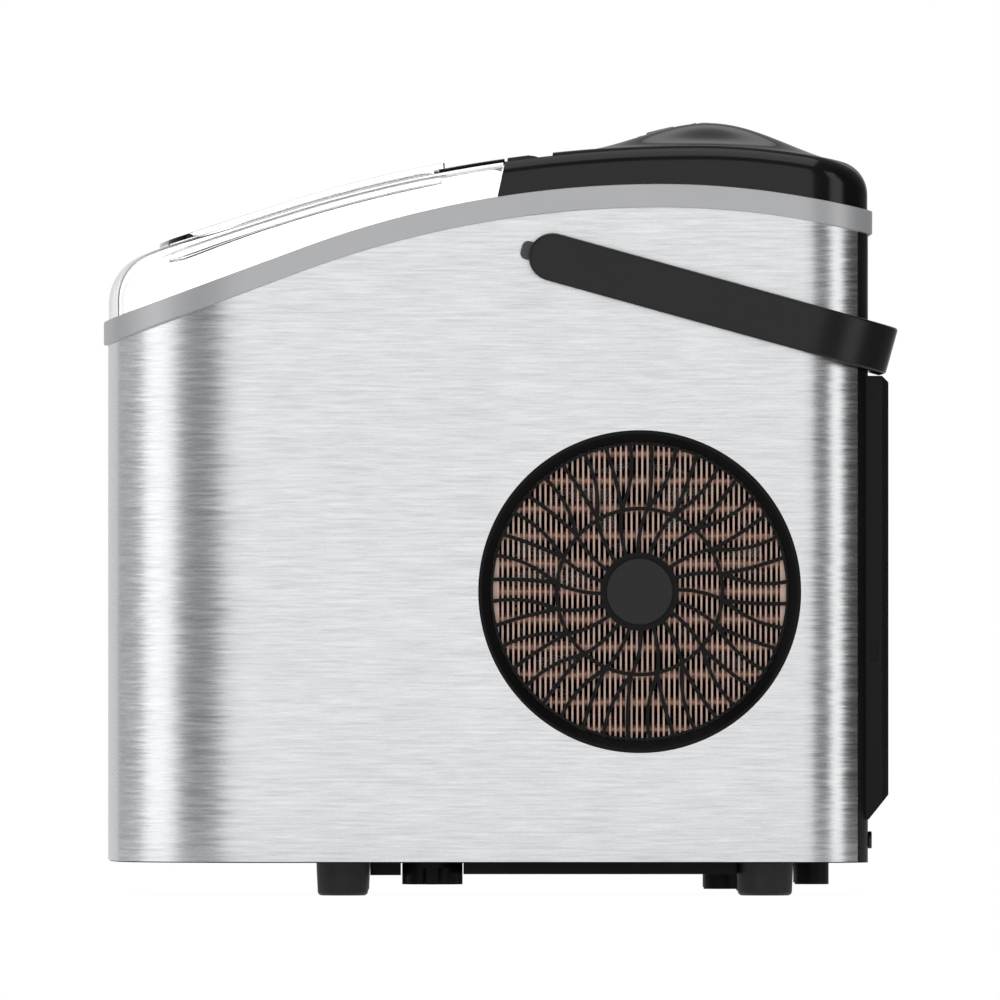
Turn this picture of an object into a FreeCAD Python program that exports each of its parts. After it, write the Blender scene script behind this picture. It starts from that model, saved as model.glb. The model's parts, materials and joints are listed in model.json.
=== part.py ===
import FreeCAD, Part
import math
import os
from FreeCAD import Vector

# Countertop ice maker. Millimetres; +Z up, -Y is the front, +X the vented side.
# The origin is on the standing surface, under the middle of the whole object.

# ---- body ----
body_length = 354.8
body_width = 276.0
body_front = -183.45
body_bottom = 15.5
front_bow_radius = 600.0
front_corner_radius = 72.0
rear_corner_radius = 30.0
shell_wall = 0.8
body_rear = body_front + body_length
half_width = body_width / 2

# ---- seam: the sloping line that the silver trim follows ----
seam_peak_height = 331.3
seam_peak_setback = 97.0
seam_front_radius = 480.0
seam_rear_radius = 385.0
seam_slope_angle = 20.4
trim_height = 10.9
trim_proud = 2.0
trim_inner_inset = 4.0
trim_skirt = 8.0
seam_peak = body_rear - seam_peak_setback

# ---- crown: the top line of the lid and cover, above the seam ----
crown_peak_height = seam_peak_height + 18.3
crown_peak = seam_peak + 17.6
crown_front_radius = 640.0
crown_slope_angle = 17.6
crown_rear_radius = 300.0
crown_front_round = 24.0
crown_rear_round = 16.0
crown_side_round = 9.0
round_lead = 0.6
cover_inset = 0.3
cover_wall = 2.5

# ---- console dome on the cover ----
dome_rise = 11.0
dome_reach = 63.0
dome_straight = 45.0
dome_middle = body_rear - 73.4

# ---- clearances ----
touch = 0.1
part_gap = 0.4
running = 0.06

# ---- vent, grille and condenser ----
vent_radius = 75.1
vent_setback = 106.4
vent_height = 141.7
vent_middle = body_rear - vent_setback
bezel_width = 5.6
grille_radius = vent_radius - bezel_width
grille_ring_radius = 38.6
grille_hub_radius = 18.2
grille_rib = 1.8
grille_depth = 2.6
grille_spokes = 20
cap_radius = 15.5
condenser_length = 130.7
condenser_height = 147.0
condenser_depth = 19.0
fin_pitch = 2.5
fin_thickness = 0.9
condenser_tube_radius = 3.2
tube_row_pitch = 12.9
tube_rows = 11
end_plate = 2.8
fan_radius = 57.0

# ---- carrying handle ----
pivot_setback = 146.85
pivot_height = 297.2
handle_drop_angle = 15.5
arm_width = 22.3
arm_thickness = 6.5
arm_gap = 4.2
bar_thickness = 8.0
bar_clearance = 5.6
arm_corner_radius = 40.0
pivot_pin_radius = 5.0
pivot = body_rear - pivot_setback

# ---- feet ----
foot_height = body_bottom
front_foot_radius = 12.35
rear_foot_radius = 13.25
front_foot_offset = 110.2
rear_foot_setback = 47.9
foot_spread = 92.0
screw_radius = 2.0

# ---- inner tub ----
tub_wall = 2.0
tub_side_inset = 15.0
tub_front_inset = 13.4
tub_floor = 60.0
tub_back = body_rear - 187.4
chamber_half_width = 100.0
tray_axis_y = body_rear - 121.4
tray_axis_z = seam_peak_height - 31.3
sweep_radius = 78.0
chamber_back = tray_axis_y + 56.0
foam_floor = tub_floor - 9.0

# ---- lid hinge ----
hinge_y = body_rear - 157.4
hinge_z = seam_peak_height + 3.2
hinge_radius = 10.0
hinge_pin_radius = 3.0
cheek_inner = half_width - cover_inset - 4.0
lid_edge_radius = 15.6
lid_back = hinge_y - lid_edge_radius
joint_line = hinge_y + hinge_radius + 0.6

# ---- levels and spans beyond the whole body, for cutting blocks ----
wide = half_width + 30.0
across = (-wide, wide)
sky = crown_peak_height + 60.0
hood_low = seam_peak_height - 130.0
deep = -40.0

# ---- back panel ----
panel_wall = 2.4
panel_joint = body_rear - 4.9
louvre_proud = 9.5
louvre_half_width = 116.0
louvre_low = 35.5
louvre_pitch = 9.1
louvre_slot = 4.2

# ---- carrying handle, between the pins and over the rear panel ----
arm_inner = half_width + arm_gap
arm_outer = arm_inner + arm_thickness
pin_recess = 1.5
pivot_disc_radius = 10.8
pivot_nut_radius = 8.0
lug_reach = 15.1
lug_half = 4.35

# ---- control panel, set into the front slope of the dome ----
panel_tilt = 13.5
panel_half = (42.0, 14.0)
panel_corner = 6.0
panel_thickness = 1.6
panel_sunk = 0.8
panel_distance = 20.0
panel_y = dome_middle - panel_distance
button_radius = 6.6
button_proud = 1.0
button_skirt = 4.2
button_flange = 1.2
button_spacing = 26.0
button_row = -3.0
button_places = (-1, 0, 1)
lamp_radius = 1.5
lamp_row = 8.5
lamp_count = 4
board_level = seam_peak_height + 9.0
board_thickness = 1.6
board_top = board_level + board_thickness
board_half = (54.0, 34.0)
post_radius = 3.0
post_places = (50.0, 26.0)

# ---- window raised in the top of the lid ----
window_inset = 24.0
window_rear = 24.0
window_corner = 14.0
window_rise = 2.8

# ---- hinge bar across the back of the lid ----
hinge_end = cheek_inner - part_gap
hinge_bore = hinge_radius - 3.0
hinge_plug = 14.0
pin_depth = 12.0
tongue_reach = 14.0
tongue_thickness = 3.0

# ---- lead bush and screws of the back panel ----
louvre_face = body_rear + louvre_proud
louvre_edge = 3.0
louvre_slant = (9.3, 11.6)
louvre_groove = (109.4, 118.6)
groove_depth = 1.2
louvre_border = 16.0
louvre_margin = 15.0
louvre_middle_bar = 8.0
panel_lip = 8.0
gland_radius = 8.0
gland_flange_radius = 11.0
gland_back_radius = 10.0
gland_flange = 1.8
gland_depth = 9.0
gland_x = -96.0
gland_z = 60.0
gland_margin = 18.0
cord_radius = 3.6
screw_head_radius = 4.0
screw_head = 1.8
screw_length = 9.0
screw_places = [(-104.0, 262.0), (104.0, 262.0), (-104.0, 26.0), (104.0, 26.0)]

# ---- base pan ----
base_wall = 2.4
base_floor = 3.0
base_rim = 34.0
floor_top = body_bottom + base_floor
band_low = 9.95
band_half = 100.0
band_y = (body_front + 166.4, body_rear - 61.4)
rib_pitch = 40.0
boss_x = 46.0
boss_radius = 8.7
boss_low = 2.65
boss_y = body_rear - 67.6
key_radius = 8.0
key_low = 4.84
key_y = body_rear - 25.8
boss_bore = 3.0
foot_boss_radius = 7.0
foot_boss_height = 12.0
foot_well_depth = 8.0
foot_taper = 0.7
foot_tread = 2.0

# ---- drain under the ice pit ----
drain_x = 70.0
drain_y = body_front + 151.9
spout_outer = 12.0
spout_inner = 9.5
cap_outer = 14.1
cap_low = 5.0
cap_top = body_bottom - 0.4
cap_notches = 8
plug_height = 9.0
seal_radius = 0.75
seal_level = body_bottom + 5.0
drain_lip_half = 9.0
drain_lip_length = 29.0

# ---- bezel, fins and shroud behind the vent ----
bezel_back = half_width - 8.0
bezel_clip = 3.0
grille_back = bezel_back + 0.3
grille_front = grille_back + grille_depth
cap_thickness = 1.6
fins_outer = bezel_back - 2.2
fins_inner = fins_outer - condenser_depth
fins_front = vent_middle - condenser_length / 2
fins_rear = fins_front + condenser_length
fins_low = vent_height - condenser_height / 2
tube_x = (fins_inner + fins_outer) / 2
tube_tail = 6.0
shroud_outer = fins_inner - 0.6
shroud_wall = 2.4
shroud_mouth = fan_radius + 3.0
shroud_depth = 26.0
shroud_lip = 2.0
arm_bar = 3.0
motor_disc_radius = 21.0
motor_back = shroud_outer - shroud_depth - arm_bar
motor_radius = 20.0
motor_length = 26.0
motor_nose = (8.0, 5.0)
fan_shaft_radius = 2.5
fan_shaft_depth = 19.0
fan_front = shroud_outer - 4.0
fan_back = shroud_outer - 24.0
fan_hub_radius = 16.0
fan_blades = 7
blade_half = 0.9
blade_sections = ((14.0, 48.0), (35.0, 34.0), (fan_radius, 24.0))

# ---- compressor and refrigerant lines ----
compressor_x = -58.0
compressor_y = body_rear - 83.4
compressor_radius = 50.0
compressor_low = 30.0
compressor_high = 150.0
compressor_round = 18.0
weld_level = 88.0
weld_height = 4.0
weld_proud = 1.5
grommet_reach = compressor_radius + 11.0
grommet_bore = 6.0
bracket_level = compressor_low + 8.0
bracket_thickness = 3.0
bracket_half = 11.0
foot_turns = (50, 170, 290)
stub_radius = 4.0
stub_top = compressor_high + 8.0
stub_spacing = (-18.0, 16.0)
relay_depth = 16.0
relay_half = 20.0
relay_z = (96.0, 138.0)
line_radius = 3.2
line_bend = 6.0
capillary_radius = 1.6
discharge_level = 184.0
drier_radius = 8.0
drier_x = 22.0
drier_y = body_rear - 26.4
drier_low = 60.0
drier_high = 130.0

# ---- evaporator and its freezing fingers ----
evaporator_y = tray_axis_y - 24.0
evaporator_low = tray_axis_z + 2.0
evaporator_high = evaporator_low + 12.0
evaporator_half = 78.0
evaporator_depth = 8.0
finger_radius = 4.0
finger_pitch = 18.0
finger_count = 9
finger_tip = tray_axis_z - 38.0
finger_socket = 5.0
bracket_sheet = 2.0
suction_x = -60.0
line_level = evaporator_low + 6.0
line_back = chamber_back + 20.0
line_mouth = evaporator_y + evaporator_depth

# ---- water tray and ice pusher, both on the tray axis ----
tray_half = 84.0
tray_wall = 1.6
tray_shaft_radius = 3.0
tray_reach = 42.0
tray_rim = 23.0
tray_depth = 50.0
pusher_inner = tray_half + 2.0
pusher_outer = tray_half + 6.0
pusher_reach = 76.5
pusher_turn = 30.0
shaft_hub_radius = 7.0
bush_length = 10.0
shaft_end = 1.5
tray_motor_length = 28.0

# ---- tub and basket ----
tub_side = half_width - tub_side_inset
tub_front = body_front + tub_front_inset
tub_skin = 8.0
flange_top = 2.0
flange_thickness = 2.5
basket_half = 113.0
basket_front = body_front + 24.0
basket_back = tub_back - 12.0
basket_low = 128.0
basket_high = 226.0
basket_wall = 1.8
basket_inset = tub_front_inset + 12.0
basket_slot = 3.0
ledge_thickness = 3.8
ledge_drop = 8.0

# ---- water pump and its hose ----
pump_x = -70.0
pump_y = body_front + 110.0
pump_radius = 15.0
pump_height = 22.0
pump_reach = 26.0
pump_outlet = floor_top + 9.0
hose_radius = 5.0
hose_bend = 9.0
hose_x = -116.0
hose_y = tub_back + 16.0
hose_top = tray_axis_z + 6.0


def block(x, y, z):
    """A box from three (low, high) pairs."""
    corner = Vector(x[0], y[0], z[0])
    return Part.makeBox(x[1] - x[0], y[1] - y[0], z[1] - z[0], corner)


def rod(radius, start, end):
    """A cylinder between two points."""
    start = Vector(*start)
    run = Vector(*end).sub(start)
    return Part.makeCylinder(radius, run.Length, start, run)


def joined(shapes):
    whole = shapes[0]
    if len(shapes) > 1:
        whole = whole.multiFuse(shapes[1:])
    return whole.removeSplitter()


def without(shape, cutters):
    return shape.cut(Part.makeCompound(cutters))


def mirrored(shape):
    """The same piece on the other side of the machine."""
    return shape.mirror(Vector(0, 0, 0), Vector(1, 0, 0))


def side_prism(points, x):
    """A polygon given in (y, z), extruded across the machine."""
    corners = [Vector(x[0], y, z) for y, z in points]
    corners.append(corners[0])
    face = Part.Face(Part.makePolygon(corners))
    return face.extrude(Vector(x[1] - x[0], 0, 0))


def bent_rod(points, radius, bend):
    """A round rod along straight runs joined by arcs of one bend radius."""
    corners = [Vector(*p) for p in points]
    edges = []
    last = corners[0]
    for before, corner, after in zip(corners, corners[1:], corners[2:]):
        into = corner.sub(before).normalize()
        out = after.sub(corner).normalize()
        turn = into.getAngle(out)
        trim = bend * math.tan(turn / 2)
        start = corner.sub(into * trim)
        end = corner.add(out * trim)
        inward = out.sub(into).normalize()
        centre = corner.add(inward * (bend / math.cos(turn / 2)))
        middle = centre.sub(inward * bend)
        edges.append(Part.LineSegment(last, start).toShape())
        edges.append(Part.Arc(start, middle, end).toShape())
        last = end
    edges.append(Part.LineSegment(last, corners[-1]).toShape())
    start_way = corners[1].sub(corners[0])
    ring = Part.Wire(Part.makeCircle(radius, corners[0], start_way))
    return Part.Wire(edges).makePipeShell([ring], True, True)


def plan_prism(inset, z=(-20.0, sky + 10)):
    """The body's outline seen from above, moved inwards by an inset."""
    half = half_width - inset
    bow_middle = body_front + front_bow_radius
    corner_x = half_width - front_corner_radius
    reach = front_bow_radius - front_corner_radius
    corner_y = bow_middle - math.sqrt(reach ** 2 - corner_x ** 2)
    way = Vector(corner_x, corner_y - bow_middle, 0).normalize()
    meet = Vector(0, bow_middle, 0).add(way * (front_bow_radius - inset))
    halfway = way.add(Vector(1, 0, 0)).normalize() * (front_corner_radius - inset)
    front_mid = Vector(corner_x, corner_y, 0).add(halfway)
    rear_x = half_width - rear_corner_radius
    rear_y = body_rear - rear_corner_radius
    rear_radius = rear_corner_radius - inset
    diagonal = rear_radius * math.sqrt(0.5)

    def flip(p):
        return Vector(-p.x, p.y, 0)

    side_front = Vector(half, corner_y, 0)
    side_rear = Vector(half, rear_y, 0)
    rear_mid = Vector(rear_x + diagonal, rear_y + diagonal, 0)
    rear_end = Vector(rear_x, rear_y + rear_radius, 0)
    edges = [
        Part.Arc(flip(meet), Vector(0, body_front + inset, 0), meet),
        Part.Arc(meet, front_mid, side_front),
        Part.LineSegment(side_front, side_rear),
        Part.Arc(side_rear, rear_mid, rear_end),
        Part.LineSegment(rear_end, flip(rear_end)),
        Part.Arc(flip(rear_end), flip(rear_mid), flip(side_rear)),
        Part.LineSegment(flip(side_rear), flip(side_front)),
        Part.Arc(flip(side_front), flip(front_mid), flip(meet)),
    ]
    face = Part.Face(Part.Wire([e.toShape() for e in edges]))
    face.translate(Vector(0, 0, z[0]))
    return face.extrude(Vector(0, 0, z[1] - z[0]))


def arc_point(middle, top, radius, angle):
    """A point on a circle whose highest point is (middle, top)."""
    turn = math.radians(angle)
    y = middle + radius * math.sin(turn)
    return Vector(0, y, top - radius * (1 - math.cos(turn)))


def under_line(edges, low):
    """Everything below a line of edges in the YZ plane, down to a level."""
    start = edges[0].Vertexes[0].Point
    end = edges[-1].Vertexes[-1].Point
    down_end = Vector(0, end.y, low)
    down_start = Vector(0, start.y, low)
    closing = Part.makePolygon([end, down_end, down_start, start])
    face = Part.Face(Part.Wire(edges + closing.Edges))
    width = 2 * half_width + 60
    face.translate(Vector(-width / 2, 0, 0))
    return face.extrude(Vector(width, 0, 0))


def under_seam(drop=0.0, low=deep + 10):
    """Everything below the seam line, lowered by a drop."""
    top = seam_peak_height - drop
    meet = arc_point(seam_peak, top, seam_front_radius, -seam_slope_angle)
    front_run = meet.y - body_front + 30
    fall = front_run * math.tan(math.radians(seam_slope_angle))
    front = Vector(0, meet.y - front_run, meet.z - fall)
    middle = arc_point(seam_peak, top, seam_front_radius, -seam_slope_angle / 2)
    peak = Vector(0, seam_peak, top)
    rear_angle = math.degrees(math.asin((seam_peak_setback + 20) / seam_rear_radius))
    rear_middle = arc_point(seam_peak, top, seam_rear_radius, rear_angle / 2)
    rear = arc_point(seam_peak, top, seam_rear_radius, rear_angle)
    edges = [
        Part.LineSegment(front, meet).toShape(),
        Part.Arc(meet, middle, peak).toShape(),
        Part.Arc(peak, rear_middle, rear).toShape(),
    ]
    return under_line(edges, low)


def seam_at(y, drop=0.0):
    """Height of the seam line at one place along the body."""
    radius = seam_front_radius if y < seam_peak else seam_rear_radius
    meet = seam_front_radius * math.sin(math.radians(seam_slope_angle))
    if y < seam_peak - meet:
        slope = math.tan(math.radians(seam_slope_angle))
        fall = seam_front_radius * (1 - math.cos(math.radians(seam_slope_angle)))
        return seam_peak_height - drop - fall - (seam_peak - meet - y) * slope
    return seam_peak_height - drop - radius + math.sqrt(radius ** 2 - (y - seam_peak) ** 2)


def under_crown(inset, low):
    """The hood's block seen from the side, with its two end roundings."""
    front = body_front + inset - round_lead
    rear = body_rear - inset + round_lead
    peak = Vector(0, crown_peak, crown_peak_height - inset)
    front_reach = crown_front_radius - inset
    rear_reach = crown_rear_radius - inset
    front_round = crown_front_round - inset
    rear_round = crown_rear_round - inset
    slope = math.radians(crown_slope_angle)
    meet = arc_point(crown_peak, peak.z, front_reach, -crown_slope_angle)
    front_mid = arc_point(crown_peak, peak.z, front_reach, -crown_slope_angle / 2)
    nose_y = front + front_round
    nose_z = meet.z - (meet.y - nose_y) * math.tan(slope) - front_round / math.cos(slope)
    nose = Vector(0, nose_y, nose_z)
    nose_way = Vector(0, -math.sin(slope), math.cos(slope))
    nose_top = nose.add(nose_way * front_round)
    nose_mid = nose.add(nose_way.add(Vector(0, -1, 0)).normalize() * front_round)
    rear_centre_z = crown_peak_height - crown_rear_radius
    tail_y = rear - rear_round
    tail_rise = math.sqrt((rear_reach - rear_round) ** 2 - (tail_y - crown_peak) ** 2)
    tail = Vector(0, tail_y, rear_centre_z + tail_rise)
    tail_way = Vector(0, tail_y - crown_peak, tail_rise).normalize()
    tail_top = tail.add(tail_way * rear_round)
    tail_mid = tail.add(tail_way.add(Vector(0, 1, 0)).normalize() * rear_round)
    fall = math.degrees(math.asin(tail_way.y))
    rear_mid = arc_point(crown_peak, peak.z, rear_reach, fall / 2)
    edges = [
        Part.LineSegment(Vector(0, front, low), Vector(0, front, nose_z)).toShape(),
        Part.Arc(Vector(0, front, nose_z), nose_mid, nose_top).toShape(),
        Part.LineSegment(nose_top, meet).toShape(),
        Part.Arc(meet, front_mid, peak).toShape(),
        Part.Arc(peak, rear_mid, tail_top).toShape(),
        Part.Arc(tail_top, tail_mid, Vector(0, rear, tail.z)).toShape(),
        Part.LineSegment(Vector(0, rear, tail.z), Vector(0, rear, low)).toShape(),
        Part.LineSegment(Vector(0, rear, low), Vector(0, front, low)).toShape(),
    ]
    face = Part.Face(Part.Wire(edges))
    width = 2 * (half_width + 10)
    face.translate(Vector(-width / 2, 0, 0))
    return face.extrude(Vector(width, 0, 0))


def hood(inset, low):
    """The whole rounded hood over the body, moved inwards by an inset."""
    side = max(crown_side_round - inset, 2.0)
    solid = plan_prism(inset).common(under_crown(inset, low))
    level = crown_peak_height
    long_edges = []
    for edge in solid.Edges:
        box = edge.BoundBox
        straight_side = abs(box.XMax - box.XMin) < 0.01
        if straight_side and box.YLength > 40 and box.ZMax > level - 60 and box.ZLength > 0.1:
            long_edges.append(edge)
    return solid.makeFillet(side, long_edges)


def dome_height(distance):
    """Rise of the console dome at a distance from its ridge line."""
    if distance >= dome_reach:
        return 0.0
    return dome_rise * (1 + math.cos(math.pi * distance / dome_reach)) / 2


def dome(inset):
    """The console dome: a straight bell with a half bell at each end."""
    sink = 6.0
    base = crown_peak_height - inset
    steps = 6
    profile = []
    for step in range(steps + 1):
        distance = dome_reach * step / steps
        drop = sink * (distance / dome_reach) ** 2
        profile.append(Vector(0, distance, base + dome_height(distance) - drop))
    curve = Part.BSplineCurve()
    curve.interpolate(Points=profile, InitialTangent=Vector(0, 1, 0), FinalTangent=Vector(0, 1, -0.1))
    low = base - 14.0
    foot = Vector(0, dome_reach, low)
    middle = Vector(0, 0, low)
    closing = Part.makePolygon([profile[-1], foot, middle, profile[0]])
    face = Part.Face(Part.Wire([curve.toShape()] + closing.Edges))
    ends = face.revolve(Vector(0, 0, 0), Vector(0, 0, 1), 360)
    run = face.extrude(Vector(2 * dome_straight, 0, 0))
    run.translate(Vector(-dome_straight, 0, 0))
    other = run.mirror(Vector(0, 0, 0), Vector(0, 1, 0))
    left = ends.translated(Vector(-dome_straight, 0, 0))
    right = ends.translated(Vector(dome_straight, 0, 0))
    whole = joined([run, other, left, right])
    whole.translate(Vector(0, dome_middle, 0))
    return whole


def on_panel(shape):
    """Carries a shape drawn flat at the origin to the tilted panel."""
    level = crown_peak_height + dome_height(panel_distance) - panel_sunk
    placed = shape.copy()
    placed.rotate(Vector(0, 0, 0), Vector(1, 0, 0), panel_tilt)
    placed.translate(Vector(0, panel_y, level))
    return placed


def panel_blank(grow, z):
    """The panel's plate with rounded corners, made larger by a margin."""
    half_x = panel_half[0] + grow
    half_y = panel_half[1] + grow
    plate = block((-half_x, half_x), (-half_y, half_y), z)
    upright = [e for e in plate.Edges if e.BoundBox.ZLength > 0.9 * (z[1] - z[0])]
    return plate.makeFillet(panel_corner + grow, upright)


def panel_holes(gap, lamp_gap, low):
    """Cutters for the buttons and the lamps, from a level up through the panel."""
    holes = []
    for place in button_places:
        x = place * button_spacing
        holes.append(rod(button_radius + gap, (x, button_row, low), (x, button_row, 5)))
    for x in lamp_places():
        holes.append(rod(lamp_radius + lamp_gap, (x, lamp_row, low), (x, lamp_row, 5)))
    return holes


def lamp_places():
    first = -(lamp_count - 1) / 2
    return [(first + i) * button_spacing for i in range(lamp_count)]


def make_control_panel():
    plate = panel_blank(0, (-panel_thickness, 0))
    return on_panel(without(plate, panel_holes(part_gap, 0, -5)))


def make_indicator_lamps():
    lamps = [rod(lamp_radius, (x, lamp_row, -6.0), (x, lamp_row, 0.0)) for x in lamp_places()]
    return on_panel(Part.makeCompound(lamps))


def make_button(place):
    """Key cap with a flange that keeps it in and a stem down to its switch."""
    x = place * button_spacing
    cap = rod(button_radius, (x, button_row, -button_skirt), (x, button_row, button_proud))
    rim = [e for e in cap.Edges if e.BoundBox.ZMin > button_proud - 0.01]
    cap = cap.makeFillet(0.6, rim[:1])
    flange_low = -button_skirt - 1.6
    flange = rod(button_radius + button_flange, (x, button_row, flange_low), (x, button_row, -button_skirt))
    stem = rod(2.0, (x, button_row, -12.0), (x, button_row, flange_low))
    return on_panel(joined([cap, flange, stem]))


def cover_cheek():
    """The right end of the cover, which stands beside the lid and holds its pin."""
    low = hood_low
    cheek = hood(cover_inset, low).cut(under_seam(-0.2))
    round_front = rod(lid_edge_radius - part_gap, (0, hinge_y, hinge_z), (wide, hinge_y, hinge_z))
    behind_joint = joint_line + 3.0
    straight = block((0, wide), (hinge_y, behind_joint), (low, sky))
    cheek = cheek.common(block((cheek_inner, wide), (lid_back, behind_joint), (low, sky)))
    cheek = cheek.common(joined([round_front, straight]))
    pin_end = half_width - 1.6
    return cheek.cut(rod(hinge_pin_radius + running, (cheek_inner - 1, hinge_y, hinge_z),
                         (pin_end, hinge_y, hinge_z)))


def board_posts():
    """Four posts under the cover that the control board is screwed to."""
    across_post, along_post = post_places
    distance = math.hypot(along_post, across_post - dome_straight)
    high = crown_peak_height + dome_height(distance) - cover_wall
    posts = []
    for x in (-across_post, across_post):
        for y in (dome_middle - along_post, dome_middle + along_post):
            posts.append(rod(post_radius, (x, y, board_top), (x, y, high)))
    return posts


def make_top_cover():
    """Fixed black cover behind the lid, with the console dome on it."""
    low = hood_low
    outside = joined([hood(cover_inset, low), dome(0.0)])
    inside = joined([hood(cover_inset + cover_wall, low - 5), dome(cover_wall)])
    shell = outside.cut(inside).cut(under_seam(-0.2))
    rear = shell.common(block(across, (joint_line, body_rear + 5), (low, sky)))
    cheek = cover_cheek()
    seat = on_panel(panel_blank(1.6, (-panel_thickness - 2.0, -panel_thickness - touch)))
    recess = on_panel(panel_blank(touch, (-panel_thickness - touch, 12)))
    cover = joined([rear, cheek, mirrored(cheek), seat]).cut(recess)
    cover = without(cover, [on_panel(hole) for hole in panel_holes(part_gap + 0.2, touch, -8)])
    return joined([cover] + board_posts())


def make_control_board():
    """Circuit board on the cover's posts, with its tallest components."""
    half_x, half_y = board_half
    board = block((-half_x, half_x), (dome_middle - half_y, dome_middle + half_y), (board_level, board_top))
    front = dome_middle + 2.0
    chips = [
        block((-14, 2), (front, front + 16), (board_top, board_top + 2.4)),
        block((14, 34), (front + 2, front + 18), (board_top, board_top + 6.0)),
        block((-40, -24), (front + 2, front + 20), (board_top, board_top + 6.0)),
    ]
    for place in button_places:
        x = place * button_spacing
        chips.append(rod(3.0, (x, panel_y, board_top), (x, panel_y, board_top + 1.4)))
    return joined([board] + chips)


def lid_shell():
    """The clear hood itself, from the front to the hinge's round edge."""
    low = hood_low
    solid = hood(cover_inset, low).cut(hood(cover_inset + cover_wall, low - 5))
    solid = solid.cut(under_seam(-0.3))
    solid = solid.common(block(across, (body_front - 10, hinge_y), (low, sky)))
    return solid.cut(rod(lid_edge_radius, (-wide, hinge_y, hinge_z), (wide, hinge_y, hinge_z)))


def make_lid_window():
    """Clear lid: a moulded hood with a raised pane in the middle."""
    rear = lid_back - window_rear
    band = plan_prism(window_inset, (hood_low, sky))
    band = band.common(block(across, (body_front, rear), (hood_low, sky)))
    corners = [e for e in band.Edges if e.BoundBox.ZLength > 150 and e.BoundBox.YMin > rear - 1]
    band = band.makeFillet(window_corner, corners)
    underside = under_crown(cover_inset + 1.2, hood_low - 10)
    pane = under_crown(cover_inset - window_rise, hood_low).cut(underside)
    return joined([lid_shell(), pane.common(band)])


def on_hinge(radius, x):
    """A round bar on the lid's hinge line."""
    return rod(radius, (x[0], hinge_y, hinge_z), (x[1], hinge_y, hinge_z))


def crown_sheet(depth, thickness, x, y):
    """A sheet that follows the crown line at a depth below it."""
    sheet = under_crown(depth, hood_low).cut(under_crown(depth + thickness, hood_low - 10))
    return sheet.common(block(x, y, (hood_low, sky)))


def make_lid_hinge_bar():
    """Black bar across the back of the lid, clipped under its edge."""
    inner = cover_inset + cover_wall
    hollow_end = hinge_end - hinge_plug
    hollow = (-hollow_end, hollow_end)
    tongue = crown_sheet(inner, tongue_thickness, hollow, (lid_back - tongue_reach, hinge_y - 4))
    filler = crown_sheet(cover_inset, cover_wall, (-hinge_end, hinge_end), (lid_back, hinge_y))
    filler = filler.common(on_hinge(lid_edge_radius - touch, across))
    bar = on_hinge(hinge_radius, (-hinge_end, hinge_end))
    sockets = [
        on_hinge(hinge_pin_radius, (hinge_end - pin_depth, hinge_end + 5)),
        on_hinge(hinge_pin_radius, (-hinge_end - 5, -hinge_end + pin_depth)),
    ]
    return without(joined([bar, tongue, filler]), [on_hinge(hinge_bore, hollow)] + sockets)


def make_lid_hinge_pins():
    pin = on_hinge(hinge_pin_radius, (hinge_end - pin_depth, half_width - 2.0))
    return Part.makeCompound([pin, mirrored(pin)])


def make_trim_band():
    """Silver band over the shell's cut edge, with a skirt behind the sheet."""
    ring = plan_prism(-trim_proud).cut(plan_prism(trim_inner_inset))
    band = ring.common(under_seam(0.0)).cut(under_seam(trim_height, deep))
    skirt = plan_prism(shell_wall + touch).cut(plan_prism(trim_inner_inset))
    skirt = skirt.common(under_seam(trim_height - 1)).cut(under_seam(trim_height + trim_skirt, deep))
    return joined([band, skirt])


def on_pivot(radius, x):
    """A round bar on the handle's pivot line."""
    return rod(radius, (x[0], pivot, pivot_height), (x[1], pivot, pivot_height))


def on_vent(radius, x):
    """A round bar on the vent's middle line."""
    return rod(radius, (x[0], vent_middle, vent_height), (x[1], vent_middle, vent_height))


def make_steel_shell():
    """Brushed sheet wrapped round the front, the sides and the rear corners."""
    skin = plan_prism(0.0, (body_bottom, sky)).cut(plan_prism(shell_wall))
    skin = skin.common(under_seam(trim_height))
    skin = skin.common(block(across, (body_front - 5, panel_joint), (0, sky)))
    skin = skin.cut(on_vent(vent_radius, (half_width - 10, half_width + 10)))
    return skin.cut(on_pivot(screw_radius, across))


def bar_reach():
    """Distance from the pivot to the cross bar, clear of the trim and of the rear panel."""
    lean = math.radians(handle_drop_angle)
    past_panel = (body_rear - pivot + part_gap + arm_width / 2 * math.sin(lean)) / math.cos(lean)
    return max(corner_reach() + bar_clearance, past_panel)


def handle_low():
    """Lowest edge of the resting handle's cross bar."""
    lean = math.radians(handle_drop_angle)
    reach = bar_reach() + bar_thickness
    return pivot_height - reach * math.sin(lean) - arm_width / 2 * math.cos(lean)


def louvre_box(high):
    """The raised box on the rear panel, and the hollow behind it."""
    half = louvre_half_width
    outer = block((-half, half), (body_rear - panel_wall, louvre_face), (louvre_low, high))
    rim = [e for e in outer.Edges if e.BoundBox.YMin > louvre_face - 0.1]
    outer = outer.makeChamfer(louvre_edge, rim).cut(louvre_cutter(0))
    for x in ((half - groove_depth, half + 1), (-half - 1, -half + groove_depth)):
        outer = outer.cut(block(x, (body_rear + 1, louvre_face - 5), louvre_groove))
    inner = half - panel_wall
    hollow = block((-inner, inner), (body_rear - 10, louvre_face - panel_wall),
                   (louvre_low + panel_wall, high - panel_wall))
    return outer, hollow.cut(louvre_cutter(panel_wall))


def louvre_cutter(wall):
    """The corner that the box's slanted underside leaves out, kept a wall away."""
    run, rise = louvre_slant
    slope = math.hypot(run, rise)
    shift = wall * slope / run
    low = louvre_low + shift - 10 * rise / run
    points = [(louvre_face - run - 10, low), (louvre_face + 10, low + (run + 20) * rise / run),
              (louvre_face + 10, low)]
    return side_prism(points, across)


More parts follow.
